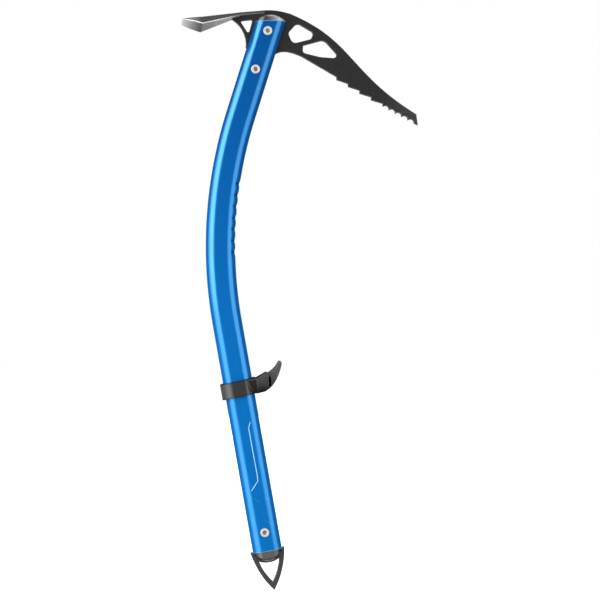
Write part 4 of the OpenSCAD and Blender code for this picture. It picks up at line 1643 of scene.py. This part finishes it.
@dataclass(frozen=True)
class Lamp:
    """A soft rectangular lamp on a circle round the tool, at an azimuth from the camera's axis."""

    name: str
    azimuth: float
    height: float
    size: Pair
    radiance: float
    distance: float = 2.3
    glossy: bool = True

    def place(self, target: Vector, camera_azimuth: float) -> None:
        """Makes the lamp, aimed at the target; its power is radiance times pi times its area."""
        data = bpy.data.lights.new(self.name, "AREA")
        data.shape = "RECTANGLE"
        data.size, data.size_y = self.size
        data.energy = self.radiance * math.pi * self.size[0] * self.size[1]
        lamp = new_object(self.name, data)
        away = aside(camera_azimuth + self.azimuth) * self.distance
        aim(lamp, target + away + Vector((0.0, 0.0, self.height)), target)
        lamp.visible_camera = False
        lamp.visible_glossy = self.glossy


@dataclass(frozen=True)
class Card:
    """A card that only reflections see: a strip of floor and a wall at its end, bent round the tool.

    Its middle is an azimuth from the camera's axis, half is half the angle that it covers, and its glow is 0 for
    a dark card.
    """

    name: str
    middle: float
    half: float
    glow: float = 0.0
    lift: float = 0.002
    reach: tuple[float, ...] = (0.1, 0.6, 1.3, 2.6, 2.6)
    rise: tuple[float, ...] = (0.0, 0.0, 0.0, 0.0, 2.0)
    columns: int = 13
    weave: float = 60.0
    cloth: tuple[Colour, Colour] = (grey(0.004), grey(0.01))

    def place(self, target: Vector, camera_azimuth: float) -> None:
        """Makes the card round the target: each row of points lies at one reach and height."""
        spread = np.linspace(-self.half, self.half, self.columns)
        turn = np.radians(camera_azimuth + self.middle + spread)[None]
        reach = np.array(self.reach)[:, None]
        height = CAD_BOX[0][2] + self.lift + np.array(self.rise)[:, None]
        rows = np.broadcast_arrays(target.x + reach * np.sin(turn), target.y - reach * np.cos(turn), height)
        points = np.stack(rows, axis=-1)
        mesh = new_mesh(self.name, points, squares(*points.shape[:2], wrap=False).tolist())
        piece = new_object(self.name, mesh)
        piece.visible_camera = False
        piece.visible_diffuse = False
        piece.visible_shadow = False
        piece.visible_transmission = False
        material, graph = new_material(self.name)
        if self.glow:
            shader = graph.node("ShaderNodeEmission", inputs={"Strength": self.glow})
        else:
            cloth = graph.mixed(*self.cloth, graph.noise(graph.place(), self.weave))
            shader = graph.node("ShaderNodeBsdfDiffuse", inputs={"Color": cloth})
        graph.node("ShaderNodeOutputMaterial", inputs={"Surface": shader})
        mesh.materials.append(material)


@dataclass
class Studio:
    """Pale floor, soft lamps, cards for reflections and the camera."""

    target: Triple = (0.06295, 0.0, 0.01888)
    azimuth: float = -5.0
    distance: float = 1.7
    lens: float = 118.1
    ambient: float = 0.45
    floor_size: float = 12.0
    floor_grain: float = 40.0
    floor_glow: float = 0.6
    floor_paint: tuple[Colour, Colour] = (grey(0.86), grey(0.9))
    stands: ClassVar[list[Union[Lamp, Card]]] = [
        Card("card_0", 2.0, 22.0),
        Card("card_1", 128.0, 48.0),
        Card("card_2", -130.0, 48.0),
        Card("card_3", -47.0, 22.0, 3.8),
        Lamp("lamp_left", -46.0, 0.35, (1.9, 2.4), 4.6),
        Lamp("lamp_side", -80.0, 0.35, (1.1, 2.4), 2.6),
        Lamp("lamp_right", 52.0, 0.3, (2.05, 2.4), 2.45),
        Lamp("lamp_back", 165.0, 0.4, (1.9, 2.4), 3.0, glossy=False),
        Lamp("lamp_top", 180.0, 2.2, (1.2, 1.2), 2.0, 0.6),
    ]

    def floor(self) -> None:
        """A square under the spike's point: white to the camera and to reflections, with the tool's shadow kept."""
        corners = np.array([(-1, -1), (1, -1), (1, 1), (-1, 1)]) * self.floor_size / 2
        mesh = new_mesh("floor", np.column_stack([corners, np.full(len(corners), CAD_BOX[0][2])]), [[0, 1, 2, 3]])
        piece = new_object("floor", mesh)
        material, graph = new_material("floor_white")
        paint = graph.mixed(*self.floor_paint, graph.noise(graph.place(), self.floor_grain))
        matt = graph.node("ShaderNodeBsdfDiffuse", inputs={"Color": paint})
        white = {"Color": grey(1.0), "Strength": graph.seen() * self.floor_glow}
        both = graph.node("ShaderNodeAddShader", inputs={0: matt, 1: graph.node("ShaderNodeEmission", inputs=white)})
        graph.node("ShaderNodeOutputMaterial", inputs={"Surface": both})
        mesh.materials.append(material)

    def world(self) -> None:
        """A white world for the camera and reflections, and a dimmer one for plain light."""
        world = bpy.data.worlds.new("studio")
        world.use_nodes = True
        bpy.context.scene.world = world
        graph = Graph(world.node_tree)
        white = {"Color": grey(1.0), "Strength": self.ambient + graph.seen() * (1.0 - self.ambient)}
        graph.node("ShaderNodeOutputWorld", inputs={"Surface": graph.node("ShaderNodeBackground", inputs=white)})

    def camera(self) -> None:
        """The camera, level with its target and turned a little to the adze's side."""
        data = bpy.data.cameras.new("camera")
        data.lens = self.lens
        camera = new_object("camera", data)
        target = Vector(self.target)
        aim(camera, target + aside(self.azimuth) * self.distance, target)
        bpy.context.scene.camera = camera

    def build(self) -> None:
        """Makes the stage, the light and the camera."""
        bpy.context.scene.view_settings.view_transform = "Standard"
        self.floor()
        self.world()
        for stand in self.stands:
            stand.place(Vector(self.target), self.azimuth)
        self.camera()
        log.info("studio: floor, camera, %d cards and lamps", len(self.stands))


UPPER_RIVET, LOWER_RIVET = -9.4, -44.1
FOOT_RIVET_AT, REST_AT = -183.4, -58.2


def main() -> None:
    """Builds the sub-assemblies in order, then the studio."""
    logging.basicConfig(level=logging.INFO, format="%(message)s")
    line = ShaftLine()
    head = line.place(line.top)
    foot = line.place(-line.lower_len, DOWNWARDS)
    Shaft(line).build()
    adze = Adze(head)
    adze.build()
    Head(head, adze).build()
    for side in Side:
        EndPlug(head, side, HEAD_END).build()
        EndPlug(foot, side, SPIKE_END).build()
    Rivet(head, UPPER_RIVET).build("upper_rivet", "head_{}_upper")
    Rivet(head, LOWER_RIVET).build("lower_rivet", "head_{}_lower")
    Rivet(line.place(FOOT_RIVET_AT), 0.0).build("foot_rivet", "spike_{}")
    Spike(foot).build()
    HandRest(line.place(REST_AT)).build()
    Studio().build()


if __name__ == "__main__":
    main()
